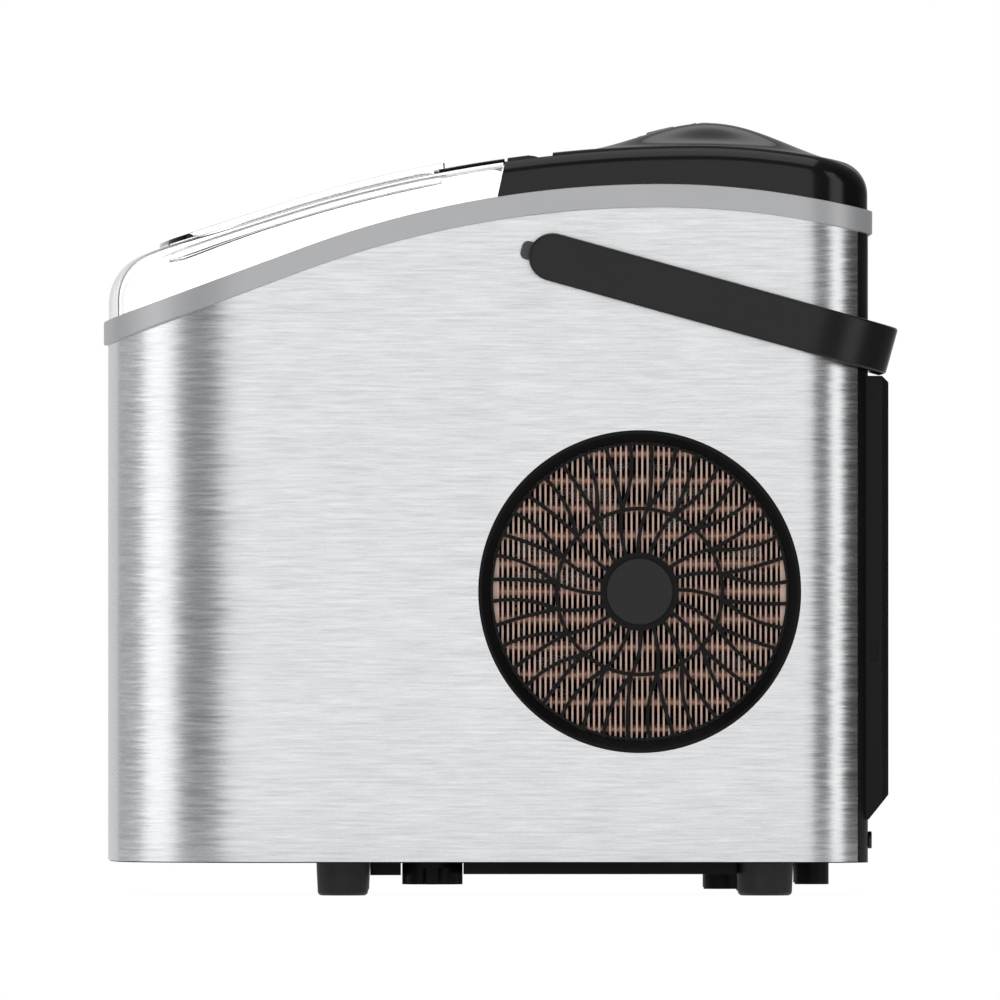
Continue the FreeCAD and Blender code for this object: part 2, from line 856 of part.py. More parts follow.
def louvre_slots(high):
    """Rows of slots on both sides of a middle bar, kept short beside the lead bush."""
    slots = []
    end = louvre_half_width - louvre_border
    rows = int((high - louvre_low - louvre_margin - 11) / louvre_pitch)
    for row in range(rows):
        z = louvre_low + louvre_margin + row * louvre_pitch
        left = end if z > gland_z + gland_margin else -gland_x - gland_margin
        for x in ((louvre_middle_bar, end), (-left, -louvre_middle_bar)):
            slots.append(block(x, (body_rear, louvre_face + 10), (z, z + louvre_slot)))
    return slots


def make_back_panel():
    """Black moulded rear panel with a raised louvred box."""
    high = handle_low() - 0.5
    skin = plan_prism(0.0, (body_bottom, sky)).cut(plan_prism(panel_wall))
    skin = skin.common(under_seam(trim_height))
    skin = skin.common(block(across, (panel_joint + 0.2, body_rear + 5), (0, sky)))
    lip = plan_prism(shell_wall + touch, (body_bottom + 22, sky)).cut(plan_prism(panel_wall))
    lip = lip.common(under_seam(trim_height + trim_skirt + 1))
    lip = lip.common(block(across, (panel_joint - panel_lip, panel_joint + 0.3), (0, sky)))
    box, hollow = louvre_box(high)
    rebate = plan_prism(shell_wall + touch / 2, (0, base_rim + part_gap))
    skirt_line = trim_height + trim_skirt + part_gap
    upper = plan_prism(shell_wall + touch / 2).cut(under_seam(skirt_line, deep))
    cuts = [hollow, rebate, upper] + louvre_slots(high)
    for x, z in screw_places:
        cuts.append(rod(screw_radius, (x, body_rear - 10, z), (x, body_rear + 5, z)))
    cuts.append(rod(gland_radius, (gland_x, body_rear, gland_z), (gland_x, louvre_face + 5, gland_z)))
    return without(joined([skin, lip, box]), cuts)


def make_back_panel_screws():
    screws = []
    for x, z in screw_places:
        head = rod(screw_head_radius, (x, body_rear, z), (x, body_rear + screw_head, z))
        shank = rod(screw_radius, (x, body_rear - screw_length, z), (x, body_rear, z))
        screws.append(joined([head, shank]))
    return Part.makeCompound(screws)


def foot_places():
    """Every foot: its name, radius and place."""
    front_y = body_front + front_foot_offset
    rear_y = body_rear - rear_foot_setback
    return [
        ("front_left_foot", front_foot_radius, -foot_spread, front_y),
        ("front_right_foot", front_foot_radius, foot_spread, front_y),
        ("rear_left_foot", rear_foot_radius, -foot_spread, rear_y),
        ("rear_right_foot", rear_foot_radius, foot_spread, rear_y),
    ]


def make_foot(radius, x, y):
    """Rubber foot with a rounded tread and a well for its screw."""
    foot = Part.makeCone(radius - foot_taper, radius, foot_height, Vector(x, y, 0))
    tread = [e for e in foot.Edges if e.BoundBox.ZMax < 0.1]
    foot = foot.makeFillet(foot_tread, tread)
    well = rod(screw_radius + 2.6, (x, y, -1), (x, y, foot_well_depth))
    hole = rod(screw_radius, (x, y, 0), (x, y, foot_height + 1))
    return without(foot, [well, hole])


def make_foot_screws():
    """Slotted screws up through the feet into the pan's bosses."""
    screws = []
    head_low = foot_well_depth - 2.6
    for _, _, x, y in foot_places():
        head = rod(screw_radius + 2.0, (x, y, head_low), (x, y, foot_well_depth))
        slot = block((x - 3, x + 3), (y - 0.5, y + 0.5), (head_low - 0.1, head_low + 0.8))
        shank = rod(screw_radius, (x, y, foot_well_depth), (x, y, foot_height + 10))
        screws.append(joined([head, shank]).cut(slot))
    return Part.makeCompound(screws)


def base_bosses():
    """Pan's four shipping bosses: outer radius, lowest level and place of each."""
    bosses = []
    for x in (-boss_x, boss_x):
        bosses.append((boss_radius, boss_low, x, boss_y))
        bosses.append((key_radius, key_low, x, key_y))
    return bosses


def base_ribs():
    """Skirt, cross ribs and drain lip under the pan's floor."""
    top = body_bottom + 0.5
    inner = band_half - base_wall
    skirt = block((-band_half, band_half), band_y, (band_low, top))
    inner_y = (band_y[0] + base_wall, band_y[1] - base_wall)
    skirt = skirt.cut(block((-inner, inner), inner_y, (0, body_bottom)))
    ribs = [skirt]
    for y in (band_y[0] + rib_pitch, band_y[0] + 2 * rib_pitch):
        ribs.append(block((-inner, inner), (y, y + base_wall), (band_low + 1, top)))
    lip_y = (drain_y - drain_lip_length, drain_y - cap_outer - 0.6)
    ribs.append(block((drain_x - drain_lip_half, drain_x + drain_lip_half), lip_y, (9.3, top)))
    return ribs


def make_base_tray():
    """Moulded bottom pan that everything else stands on."""
    wall = plan_prism(shell_wall + touch, (body_bottom, base_rim))
    pieces = [wall.cut(plan_prism(shell_wall + base_wall, (floor_top, base_rim + 1)))]
    pieces.extend(base_ribs())
    cuts = [rod(spout_outer, (drain_x, drain_y, 0), (drain_x, drain_y, floor_top + 1))]
    for radius, low, x, y in base_bosses():
        pieces.append(rod(radius, (x, y, low), (x, y, body_bottom + 0.5)))
        cuts.append(rod(boss_bore, (x, y, 0), (x, y, body_bottom)))
    for _, _, x, y in foot_places():
        pieces.append(rod(foot_boss_radius, (x, y, floor_top - 0.5), (x, y, foot_height + foot_boss_height)))
        cuts.append(rod(screw_radius, (x, y, 0), (x, y, foot_height + 10)))
    for x, z in screw_places:
        if z < base_rim:
            cuts.append(rod(screw_radius, (x, body_rear - 10, z), (x, body_rear + 5, z)))
    return without(joined(pieces), cuts)


def on_drain(radius, z):
    """A round bar on the drain's middle line."""
    return rod(radius, (drain_x, drain_y, z[0]), (drain_x, drain_y, z[1]))


def make_drain_spout():
    """Short tube that leads the tub's water through the base."""
    length = (body_bottom, tub_floor)
    return on_drain(spout_outer, length).cut(on_drain(spout_inner, length))


def make_drain_cap():
    """Plug with a groove for its seal and a fluted grip with a bar across it."""
    plug = on_drain(spout_inner - 0.4, (cap_top - 1, body_bottom + plug_height))
    groove_z = (seal_level - 1, seal_level + 1)
    groove = on_drain(spout_inner, groove_z).cut(on_drain(spout_inner - 1.6, groove_z))
    cap = joined([on_drain(cap_outer, (cap_low, cap_top)), plug]).cut(groove)
    cuts = [block((drain_x - 9, drain_x + 9), (drain_y - 1.6, drain_y + 1.6), (cap_low - 1, cap_low + 3))]
    for turn in range(cap_notches):
        angle = 2 * math.pi * (turn + 0.5) / cap_notches
        x = drain_x + (cap_outer + 1.2) * math.cos(angle)
        y = drain_y + (cap_outer + 1.2) * math.sin(angle)
        cuts.append(rod(3.0, (x, y, cap_low - 1), (x, y, cap_top - 2.4)))
    return without(cap, cuts)


def make_drain_seal():
    ring_radius = spout_inner - 0.1 - seal_radius
    return Part.makeTorus(ring_radius, seal_radius, Vector(drain_x, drain_y, seal_level), Vector(0, 0, 1))


def vent_point(radius, angle):
    """A point on the grille's plane, by radius and angle clockwise from up."""
    turn = math.radians(angle)
    return Vector(0, vent_middle + radius * math.sin(turn), vent_height + radius * math.cos(turn))


def inner_angle(radius):
    """Turn of an inner rib along its length."""
    return -20.6 + 0.245 * (radius - 18.5) + 0.0078 * (radius - 18.5) ** 2


def outer_angle(radius):
    """Mean turn of a forked pair of outer ribs."""
    peak = 60.0
    return -7.9 - 0.0094 * (radius - peak) ** 2


def outer_splay(radius):
    """Half the angle between the two ribs of a fork."""
    span = (radius - grille_ring_radius) / (grille_radius - grille_ring_radius)
    return 4.75 * math.sin(min(span * 1.25, 1.0) * math.pi / 2)


def rib_edge(angle_of, low, high, side, shift=0.0):
    """One long edge of a rib, as an arc through three points."""
    points = []
    for radius in (low, (low + high) / 2, high):
        half = math.degrees(grille_rib / 2 / radius)
        points.append(vent_point(radius, angle_of(radius) + side * half + shift))
    return points


def ring_arc(radius, start, end):
    """The shorter arc of a ring between two points on it."""
    start_angle = math.degrees(math.atan2(start.y - vent_middle, start.z - vent_height))
    end_angle = math.degrees(math.atan2(end.y - vent_middle, end.z - vent_height))
    turn = (end_angle - start_angle + 180) % 360 - 180
    middle = vent_point(radius, start_angle + turn / 2)
    return Part.Arc(start, middle, end).toShape()


def opening(first, second, low, high):
    """The gap between two rib edges and two rings."""
    edges = [
        Part.Arc(*first).toShape(),
        ring_arc(high, first[2], second[2]),
        Part.Arc(*second).toShape(),
        ring_arc(low, second[0], first[0]),
    ]
    return Part.Wire(Part.sortEdges(edges)[0])


def make_vent_grille():
    """Round guard: twenty inner ribs, each forking into two outer ribs."""
    centre = Vector(0, vent_middle, vent_height)
    outer_rim = grille_radius - touch
    wires = [Part.Wire(Part.makeCircle(outer_rim, centre, Vector(1, 0, 0)))]
    pitch = 360.0 / grille_spokes
    ring = grille_rib / 2
    low_out = grille_ring_radius + ring
    high_out = outer_rim - 1.2
    fork = grille_ring_radius + 4.6
    for spoke in range(grille_spokes):
        turn = spoke * pitch
        first = rib_edge(inner_angle, grille_hub_radius, grille_ring_radius - ring, 1, turn)
        second = rib_edge(inner_angle, grille_hub_radius, grille_ring_radius - ring, -1, turn + pitch)
        wires.append(opening(first, second, grille_hub_radius, grille_ring_radius - ring))
        right = rib_edge(lambda r: outer_angle(r) + outer_splay(r), low_out, high_out, 1, turn)
        left = rib_edge(lambda r: outer_angle(r) - outer_splay(r), low_out, high_out, -1, turn + pitch)
        wires.append(opening(right, left, low_out, high_out))
        inside_right = rib_edge(lambda r: outer_angle(r) + outer_splay(r), fork, high_out, -1, turn)
        inside_left = rib_edge(lambda r: outer_angle(r) - outer_splay(r), fork, high_out, 1, turn)
        wires.append(opening(inside_left, inside_right, fork, high_out))
    face = Part.Face(wires, "Part::FaceMakerBullseye")
    face.translate(Vector(grille_back, 0, 0))
    return face.extrude(Vector(grille_depth, 0, 0))


def make_grille_cap():
    """Plain pressed cap glued on the grille's hub."""
    cap = on_vent(cap_radius, (grille_front, grille_front + cap_thickness))
    rim = [e for e in cap.Edges if e.BoundBox.XMin > grille_front + cap_thickness - 0.1]
    return cap.makeFillet(0.6, rim)


def make_vent_bezel():
    """Tapered ring clipped into the hole in the shell."""
    skin_x = half_width - shell_wall - touch
    clip_radius = vent_radius + bezel_clip
    fit = vent_radius - touch
    points = [
        (half_width, fit), (skin_x, fit), (skin_x, clip_radius), (skin_x - 2, clip_radius),
        (skin_x - 2, fit), (bezel_back, fit), (bezel_back, grille_radius),
        (grille_front + part_gap, grille_radius), (half_width, vent_radius - 1.5)]
    corners = [Vector(x, vent_middle, vent_height + r) for x, r in points]
    corners.append(corners[0])
    face = Part.Face(Part.makePolygon(corners))
    return face.revolve(Vector(0, vent_middle, vent_height), Vector(1, 0, 0), 360)


def tube_levels():
    middle = (tube_rows - 1) / 2
    return [vent_height + (row - middle) * tube_row_pitch for row in range(tube_rows)]


def fin_plate(x, y, thickness, z):
    """A sheet with a hole for each row of tube."""
    plate = block(x, (y, y + thickness), z)
    holes = [rod(condenser_tube_radius, (tube_x, y - 1, level), (tube_x, y + thickness + 1, level))
             for level in tube_levels()]
    return without(plate, holes)


def make_condenser_fins():
    z = (fins_low, fins_low + condenser_height)
    plate = fin_plate((fins_inner, fins_outer), fins_front, fin_thickness, z)
    count = int(condenser_length / fin_pitch)
    start = (condenser_length - count * fin_pitch) / 2 + (fin_pitch - fin_thickness) / 2
    fins = [plate.translated(Vector(0, start + fin * fin_pitch, 0)) for fin in range(count)]
    return Part.makeCompound(fins)


def make_condenser_end_plates():
    z = (fins_low - 1.0, fins_low + condenser_height + 1.0)
    x = (fins_inner - 0.4, fins_outer + 0.4)
    front = fin_plate(x, fins_front - end_plate, end_plate, z)
    rear = fin_plate(x, fins_rear, end_plate, z)
    return Part.makeCompound([front, rear])


def make_condenser_tube():
    """One serpentine tube: straight rows joined by return bends."""
    near = fins_front - end_plate
    far = fins_rear + end_plate
    levels = tube_levels()
    bend = tube_row_pitch / 2
    pieces = []
    for level in levels:
        end = far + tube_tail if level == levels[-1] else far
        pieces.append(rod(condenser_tube_radius, (tube_x, near, level), (tube_x, end, level)))
    for row, level in enumerate(levels[:-1]):
        at_far = row % 2 == 0
        y = far if at_far else near
        centre = Vector(tube_x, y, level + bend)
        bow = Part.makeTorus(bend, condenser_tube_radius, centre, Vector(1, 0, 0))
        reach = (y, y + 30) if at_far else (y - 30, y)
        pieces.append(bow.common(block((tube_x - 10, tube_x + 10), reach, (0, sky))))
    return joined(pieces)


def turned_round_vent(shape, turn):
    """A copy of a shape turned about the vent's middle line."""
    copy = shape.copy()
    copy.rotate(Vector(0, vent_middle, vent_height), Vector(1, 0, 0), turn)
    return copy


def make_fan_shroud():
    """Plate and ring round the fan, with legs and three arms for the motor."""
    y = (fins_front - 2, fins_rear + 2)
    z = (fins_low - 1, fins_low + condenser_height + 1)
    arm_x = (motor_back, motor_back + arm_bar)
    plate_x = (shroud_outer - shroud_wall, shroud_outer)
    ring_radius = shroud_mouth + shroud_lip
    shroud = joined([block(plate_x, y, z), on_vent(ring_radius, (motor_back, shroud_outer))])
    shroud = shroud.cut(on_vent(shroud_mouth, (motor_back - 1, shroud_outer + 1)))
    arm_z = (vent_height + 18, vent_height + shroud_mouth + 1)
    arm = block(arm_x, (vent_middle - 4, vent_middle + 4), arm_z)
    pieces = [shroud, on_vent(motor_disc_radius, arm_x)]
    pieces.extend(turned_round_vent(arm, turn) for turn in (0, 120, 240))
    frame = joined(pieces).cut(on_vent(4.0, (motor_back - 1, motor_back + arm_bar + 1)))
    legs = [block(plate_x, (side, side + 14), (floor_top, z[0] + 1)) for side in (y[0] + 2, y[1] - 16)]
    return joined([frame] + legs)


def make_fan_motor():
    body = on_vent(motor_radius, (motor_back - motor_length, motor_back))
    nose_radius, nose_length = motor_nose
    nose = on_vent(nose_radius, (motor_back - motor_length - nose_length, motor_back - motor_length))
    bore = on_vent(fan_shaft_radius + running, (motor_back - fan_shaft_depth - 1, motor_back + 1))
    return joined([body, nose]).cut(bore)


def make_fan_shaft():
    return on_vent(fan_shaft_radius, (motor_back - fan_shaft_depth, fan_front - 2))


def fan_blade():
    """One blade, lofted through sections that flatten towards its tip."""
    sections = []
    for radius, pitch in blade_sections:
        span = 15.0 + 0.28 * radius
        lean = math.radians(pitch)
        run = Vector(math.sin(lean), math.cos(lean), 0) * (span / 2)
        thick = Vector(math.cos(lean), -math.sin(lean), 0) * blade_half
        middle = Vector((fan_front + fan_back) / 2, vent_middle, vent_height + radius)
        corners = [middle.sub(run).sub(thick), middle.add(run).sub(thick),
                   middle.add(run).add(thick), middle.sub(run).add(thick)]
        sections.append(Part.makePolygon(corners + [corners[0]]))
    return Part.makeLoft(sections, True, True)


def make_fan_impeller():
    """Seven twisted blades on a hub."""
    blade = fan_blade()
    blades = [turned_round_vent(blade, turn * 360 / fan_blades) for turn in range(fan_blades)]
    hub = on_vent(fan_hub_radius, (fan_back, fan_front))
    sweep = on_vent(fan_radius, (fan_back - 4, fan_front + 4))
    bore = on_vent(fan_shaft_radius, (fan_back - 9, fan_front - 2))
    return joined([hub] + blades).common(sweep).cut(bore)


def compressor_stubs():
    """Where the discharge and suction stubs stand."""
    suction = (compressor_x + stub_spacing[0], compressor_y + stub_spacing[1])
    return [(compressor_x, compressor_y), suction]


def on_compressor(radius, z):
    """A round bar on the compressor's middle line."""
    return rod(radius, (compressor_x, compressor_y, z[0]), (compressor_x, compressor_y, z[1]))


def make_compressor():
    """Welded can with a seam, three feet and two stubs."""
    can = on_compressor(compressor_radius, (compressor_low, compressor_high))
    ends = [e for e in can.Edges if abs(e.BoundBox.ZLength) < 0.01 and e.BoundBox.XLength > 50]
    can = can.makeFillet(compressor_round, ends)
    pieces = [can, on_compressor(compressor_radius + weld_proud, (weld_level, weld_level + weld_height))]
    hole_x = compressor_x + grommet_reach
    foot = block((compressor_x, hole_x + 9), (compressor_y - bracket_half, compressor_y + bracket_half),
                 (bracket_level, bracket_level + bracket_thickness))
    foot = foot.cut(rod(grommet_bore, (hole_x, compressor_y, 0), (hole_x, compressor_y, 80)))
    for turn in foot_turns:
        turned = foot.copy()
        turned.rotate(Vector(compressor_x, compressor_y, 0), Vector(0, 0, 1), turn)
        pieces.append(turned)
    for x, y in compressor_stubs():
        pieces.append(rod(stub_radius, (x, y, compressor_high - 12), (x, y, stub_top)))
    return joined(pieces)


def make_compressor_grommets():
    """Rubber bushes that carry the compressor's feet on the pan."""
    grommets = []
    for turn in foot_turns:
        x = compressor_x + grommet_reach * math.cos(math.radians(turn))
        y = compressor_y + grommet_reach * math.sin(math.radians(turn))
        low = rod(9.0, (x, y, floor_top), (x, y, bracket_level))
        neck = rod(grommet_bore, (x, y, bracket_level - 1), (x, y, bracket_level + 4))
        top = rod(8.5, (x, y, bracket_level + bracket_thickness), (x, y, bracket_level + 6))
        grommets.append(joined([low, neck, top]))
    return Part.makeCompound(grommets)


def make_relay_cover():
    """Moulded cover over the terminals on the compressor's side."""
    clear = compressor_radius + 1.6
    x = compressor_x + clear
    box = block((x - 6, x + relay_depth), (compressor_y - relay_half, compressor_y + relay_half), relay_z)
    return box.cut(on_compressor(clear, (80, 160)))


def make_filter_drier():
    drier = rod(drier_radius, (drier_x, drier_y, drier_low), (drier_x, drier_y, drier_high))
    ends = [e for e in drier.Edges if e.BoundBox.ZLength < 0.01]
    return drier.makeFillet(5.0, ends)


def make_discharge_line():
    """Hot gas line from the compressor over to the top of the condenser."""
    x, y = compressor_stubs()[0]
    mouth = fins_rear + end_plate + tube_tail
    far = mouth + 14
    top = tube_levels()[-1]
    route = [(x, y, stub_top), (x, y, discharge_level), (x, far, discharge_level),
             (tube_x, far, discharge_level), (tube_x, far, top), (tube_x, mouth, top)]
    return bent_rod(route, line_radius, line_bend)


def make_suction_line():
    """Cold return line from the evaporator down to the compressor."""
    x, y = compressor_stubs()[1]
    route = [(suction_x, line_mouth, line_level), (suction_x, line_back, line_level),
             (suction_x, line_back, 204), (x, y, 196), (x, y, stub_top)]
    return bent_rod(route, line_radius, line_bend)


def make_capillary_line():
    """Thin line from the drier up to the evaporator."""
    route = [(drier_x, drier_y, drier_high), (drier_x, drier_y, 200), (drier_x, line_back, 212),
             (drier_x, line_back, line_level), (drier_x, line_mouth, line_level)]
    return bent_rod(route, capillary_radius, line_bend - 1.0)


def finger_places():
    first = -(finger_count - 1) / 2
    return [(first + i) * finger_pitch for i in range(finger_count)]


def finger_rod(x, low, high):
    return rod(finger_radius, (x, evaporator_y, low), (x, evaporator_y, high))


def make_evaporator_block():
    """Cold block over the tray, with a socket for each freezing finger."""
    y = (evaporator_y - evaporator_depth, evaporator_y + evaporator_depth)
    body = block((-evaporator_half, evaporator_half), y, (evaporator_low, evaporator_high))
    edges = [e for e in body.Edges if e.BoundBox.XLength > 100]
    body = body.makeFillet(2.0, edges)
    socket_top = evaporator_low + finger_socket
    return without(body, [finger_rod(x, evaporator_low - 1, socket_top) for x in finger_places()])


def make_freezing_fingers():
    """Plated fingers that hang in the water and grow the ice."""
    fingers = []
    for x in finger_places():
        finger = finger_rod(x, finger_tip, evaporator_low + finger_socket)
        tip = [e for e in finger.Edges if e.BoundBox.ZMax < finger_tip + 0.1]
        fingers.append(finger.makeFillet(finger_radius - 0.3, tip))
    return Part.makeCompound(fingers)


def make_evaporator_bracket():
    """Sheet that hangs the evaporator between the chamber's side walls."""
    inner = chamber_half_width - tub_wall
    y = (evaporator_y - 10, evaporator_y + 10)
    top = evaporator_high + bracket_sheet
    plate = block((-inner, inner), y, (evaporator_high, top))
    tabs = [block(x, y, (top, top + 8)) for x in ((-inner, -inner + 2), (inner - 2, inner))]
    return joined([plate] + tabs)


def on_tray(radius, x):
    """A round bar on the tray's axis."""
    return rod(radius, (x[0], tray_axis_y, tray_axis_z), (x[1], tray_axis_y, tray_axis_z))


def from_axis(points):
    """Points given from the tray's axis, carried to the machine."""
    return [(tray_axis_y + y, tray_axis_z + z) for y, z in points]


def make_water_tray():
    """Tipping trough under the fingers, hung from a shaft at each end."""
    w = tray_wall
    slant = tray_depth - 10
    inner_end = tray_half - w
    outer = side_prism(from_axis([
        (-tray_reach, -tray_rim), (-tray_reach, -slant), (-tray_reach + 12, -tray_depth),
        (-14, -tray_depth), (-4, -slant), (-4, -tray_rim)]), (-tray_half, tray_half))
    inner = side_prism(from_axis([
        (-tray_reach + w, 0), (-tray_reach + w, -slant + 0.6), (-tray_reach + 12.4, -tray_depth + w),
        (-14.4, -tray_depth + w), (-4 - w, -slant + 0.6), (-4 - w, 0)]), (-inner_end, inner_end))
    cheek = side_prism(from_axis([
        (-tray_reach, -tray_rim), (-8, 3), (3, 6), (7, 0), (4, -8), (-4, -tray_rim - 4),
        (-14, -tray_rim - 2)]), (inner_end, tray_half))
    shaft = on_tray(tray_shaft_radius, (inner_end, chamber_half_width + 8))
    return joined([outer.cut(inner), cheek, shaft, mirrored(cheek), mirrored(shaft)])


def make_ice_pusher():
    """Comb blade that sweeps the chamber floor, turning round the tray shaft."""
    low = -pusher_reach
    high = low + 9.0
    blade = side_prism(from_axis([(-1.2, low), (1.2, low), (1.2, high), (-1.2, high)]),
                       (-pusher_outer, pusher_outer))
    teeth = [block((x - 3, x + 3), (tray_axis_y - 5, tray_axis_y + 5), (tray_axis_z - 78, tray_axis_z - 73))
             for x in finger_places()]
    arm_x = (pusher_inner, pusher_outer)
    arm = side_prism(from_axis([(-5, 0), (-2.5, low), (2.5, low), (5, 0)]), arm_x)
    side = joined([arm, on_tray(shaft_hub_radius, arm_x)])
    pusher = joined([without(blade, teeth), side, mirrored(side)])
    pusher = pusher.cut(on_tray(tray_shaft_radius + running, across))
    pusher.rotate(Vector(0, tray_axis_y, tray_axis_z), Vector(1, 0, 0), pusher_turn)
    return pusher


def make_tray_motor():
    """Gear motor on the outside of the chamber that tips the tray."""
    face = -chamber_half_width
    box = block((face - tray_motor_length, face), (tray_axis_y - 22, tray_axis_y + 22),
                (tray_axis_z - 24, tray_axis_z + 20))
    corner = [e for e in box.Edges if e.BoundBox.XLength > 20]
    box = box.makeFillet(4.0, corner)
    return box.cut(on_tray(tray_shaft_radius + running, (face - 9, face + 1)))


def make_shaft_bush():
    """Blind bush on the chamber's wall for the tray shaft's free end."""
    face = chamber_half_width
    outer = on_tray(shaft_hub_radius, (face, face + bush_length))
    return outer.cut(on_tray(tray_shaft_radius + running, (face - 1, face + bush_length - shaft_end)))


def tub_outside():
    pit = block((-tub_side, tub_side), (tub_front, tub_back), (tub_floor, sky))
    return pit.common(plan_prism(tub_skin))


def tub_blank():
    """The tub before it is hollowed: pit, chamber, swept trough and top flange."""
    length = (tub_back - tub_wall, chamber_back)
    chamber = block((-chamber_half_width, chamber_half_width), length, (tray_axis_z, sky))
    trough = on_tray(sweep_radius + tub_wall, (-chamber_half_width, chamber_half_width))
    trough = trough.common(block(across, length, (0, tray_axis_z + 1)))
    flange = plan_prism(trim_inner_inset + part_gap)
    flange = flange.common(under_seam(flange_top)).cut(under_seam(flange_top + flange_thickness, deep))
    flange = flange.common(block(across, (body_front, chamber_back), (0, sky)))
    solid = joined([tub_outside(), chamber, trough]).common(under_seam(flange_top))
    return joined([solid, flange])


def tub_hollows():
    """The room inside the tub: pit, chamber and the pusher's swept floor."""
    w = tub_wall
    pit = block((-tub_side + w, tub_side - w), (tub_front + w, tub_back - w), (tub_floor + w, sky))
    inner = chamber_half_width - w
    rear = chamber_back - w
    room = block((-inner, inner), (tub_back - w - 5, rear), (tray_axis_z, sky))
    sweep = on_tray(sweep_radius, (-inner, inner))
    sweep = sweep.common(block(across, (tub_back - 60, rear), (0, sky)))
    return [pit.common(plan_prism(tub_skin + w)), room, sweep]


def tub_bores():
    """Holes in the tub for the hinge, the shaft, the lines, the drain and the hose."""
    wall_y = (chamber_back - 5, chamber_back + 5)
    floor_z = (tub_floor - 1, tub_floor + 5)
    hose_end = -chamber_half_width + 5
    return [
        on_hinge(hinge_radius + 0.6, across),
        on_tray(tray_shaft_radius + part_gap, (-120, 120)),
        rod(line_radius, (suction_x, wall_y[0], line_level), (suction_x, wall_y[1], line_level)),
        rod(capillary_radius, (drier_x, wall_y[0], line_level), (drier_x, wall_y[1], line_level)),
        on_drain(spout_inner, floor_z),
        rod(hose_radius, (hose_x, hose_y, hose_top), (hose_end, hose_y, hose_top)),
        rod(hose_radius, (pump_x, pump_y, floor_z[0]), (pump_x, pump_y, floor_z[1])),
    ]


def make_inner_liner():
    """Moulded tub: ice pit and reservoir in front, ice chamber behind."""
    liner = without(tub_blank(), tub_hollows() + tub_bores())
    top = basket_high - ledge_drop + ledge_thickness
    ledge = block((basket_half + 0.6, tub_side - tub_wall + 0.5), (basket_front + 10, basket_back - 10),
                  (basket_high - ledge_drop, top))
    ledge = ledge.common(tub_outside())
    return joined([liner, ledge, mirrored(ledge)])


def basket_slots():
    """Slots in the basket's floor and upright slots through its long walls."""
    slots = []
    run = (basket_back - basket_front - 40) / 5
    floor_z = (basket_low - 1, basket_low + 3)
    for x in range(-96, 97, 16):
        for row in range(5):
            start = basket_front + 24 + row * run
            slots.append(block((x - basket_slot, x + basket_slot), (start, start + run - 6), floor_z))
    wall_z = (basket_low + 20, basket_high - 30)
    for x in range(-90, 91, 18):
        slots.append(block((x - basket_slot, x + basket_slot), (basket_front - 5, basket_back + 5), wall_z))
    return slots


def make_ice_basket():
    """Slotted lift-out basket that hangs on two ledges of the tub."""
    w = basket_wall
    outer = block((-basket_half, basket_half), (basket_front, basket_back), (basket_low, basket_high))
    outer = outer.common(plan_prism(basket_inset))
    inner_half = basket_half - w
    inner = block((-inner_half, inner_half), (basket_front + w, basket_back - w), (basket_low + w, sky))
    inner = inner.common(plan_prism(basket_inset + w))
    wall_gap = tub_wall + 1.2
    rim_side = tub_side - wall_gap
    rim_z = (basket_high - 4, basket_high - 2)
    rim = block((-rim_side, rim_side), (basket_front + 12, basket_back - 12), rim_z)
    rim = rim.cut(block((-basket_half + 1, basket_half - 1), (body_front, body_rear), (0, sky)))
    rim = rim.common(plan_prism(tub_skin + wall_gap))
    return joined([without(outer.cut(inner), basket_slots()), rim])


def make_water_pump():
    """Small pump on the pan, fed from the reservoir above it."""
    top = floor_top + pump_height
    body = rod(pump_radius, (pump_x, pump_y, floor_top), (pump_x, pump_y, top))
    inlet = rod(hose_radius, (pump_x, pump_y, top - 1), (pump_x, pump_y, tub_floor + tub_wall))
    outlet = rod(hose_radius, (pump_x, pump_y, pump_outlet), (pump_x, pump_y + pump_reach, pump_outlet))
    return joined([body, inlet, outlet])


def make_pump_hose():
    """Hose from the pump up through the chamber's wall, over the tray."""
    route = [(pump_x, pump_y + pump_reach, pump_outlet), (pump_x, hose_y, pump_outlet),
             (hose_x, hose_y, pump_outlet), (hose_x, hose_y, hose_top), (-tray_half + 6, hose_y, hose_top)]
    return bent_rod(route, hose_radius, hose_bend)


def make_foam_insulation():
    """Foam jacket round the ice pit."""
    foam = plan_prism(shell_wall + 0.8, (foam_floor, sky)).common(under_seam(trim_height + trim_skirt + 1))
    foam = foam.common(block(across, (body_front, tub_back), (0, sky))).cut(tub_outside())
    pump_hole = rod(hose_radius, (pump_x, pump_y, 0), (pump_x, pump_y, 100))
    return without(foam, [on_drain(spout_outer, (0, 100)), pump_hole])


def make_bulkhead():
    """Sheet between the wet front and the dry machinery space."""
    y = (tub_back + 0.6, tub_back + 1.8)
    sheet = block((-half_width + 8, half_width - 9), y, (floor_top, tray_axis_z - 84))
    return sheet.cut(rod(hose_radius + 1, (pump_x, y[0] - 5, pump_outlet), (pump_x, y[1] + 5, pump_outlet)))


def make_ice_full_sensor():
    """Light sensor on the pit's rear wall that stops the making when the basket is full."""
    wall = tub_back - tub_wall
    x = tub_side - 34
    z = basket_high + 4
    body = block((x, x + 16), (wall - 6, wall), (z, z + 14))
    lens = rod(3.0, (x + 8, wall - 8, z + 7), (x + 8, wall - 6, z + 7))
    return joined([body, lens])


def on_gland(radius, start, end):
    """A round bar on the lead's middle line, by distances out from the louvred face."""
    return rod(radius, (gland_x, louvre_face + start, gland_z), (gland_x, louvre_face + end, gland_z))


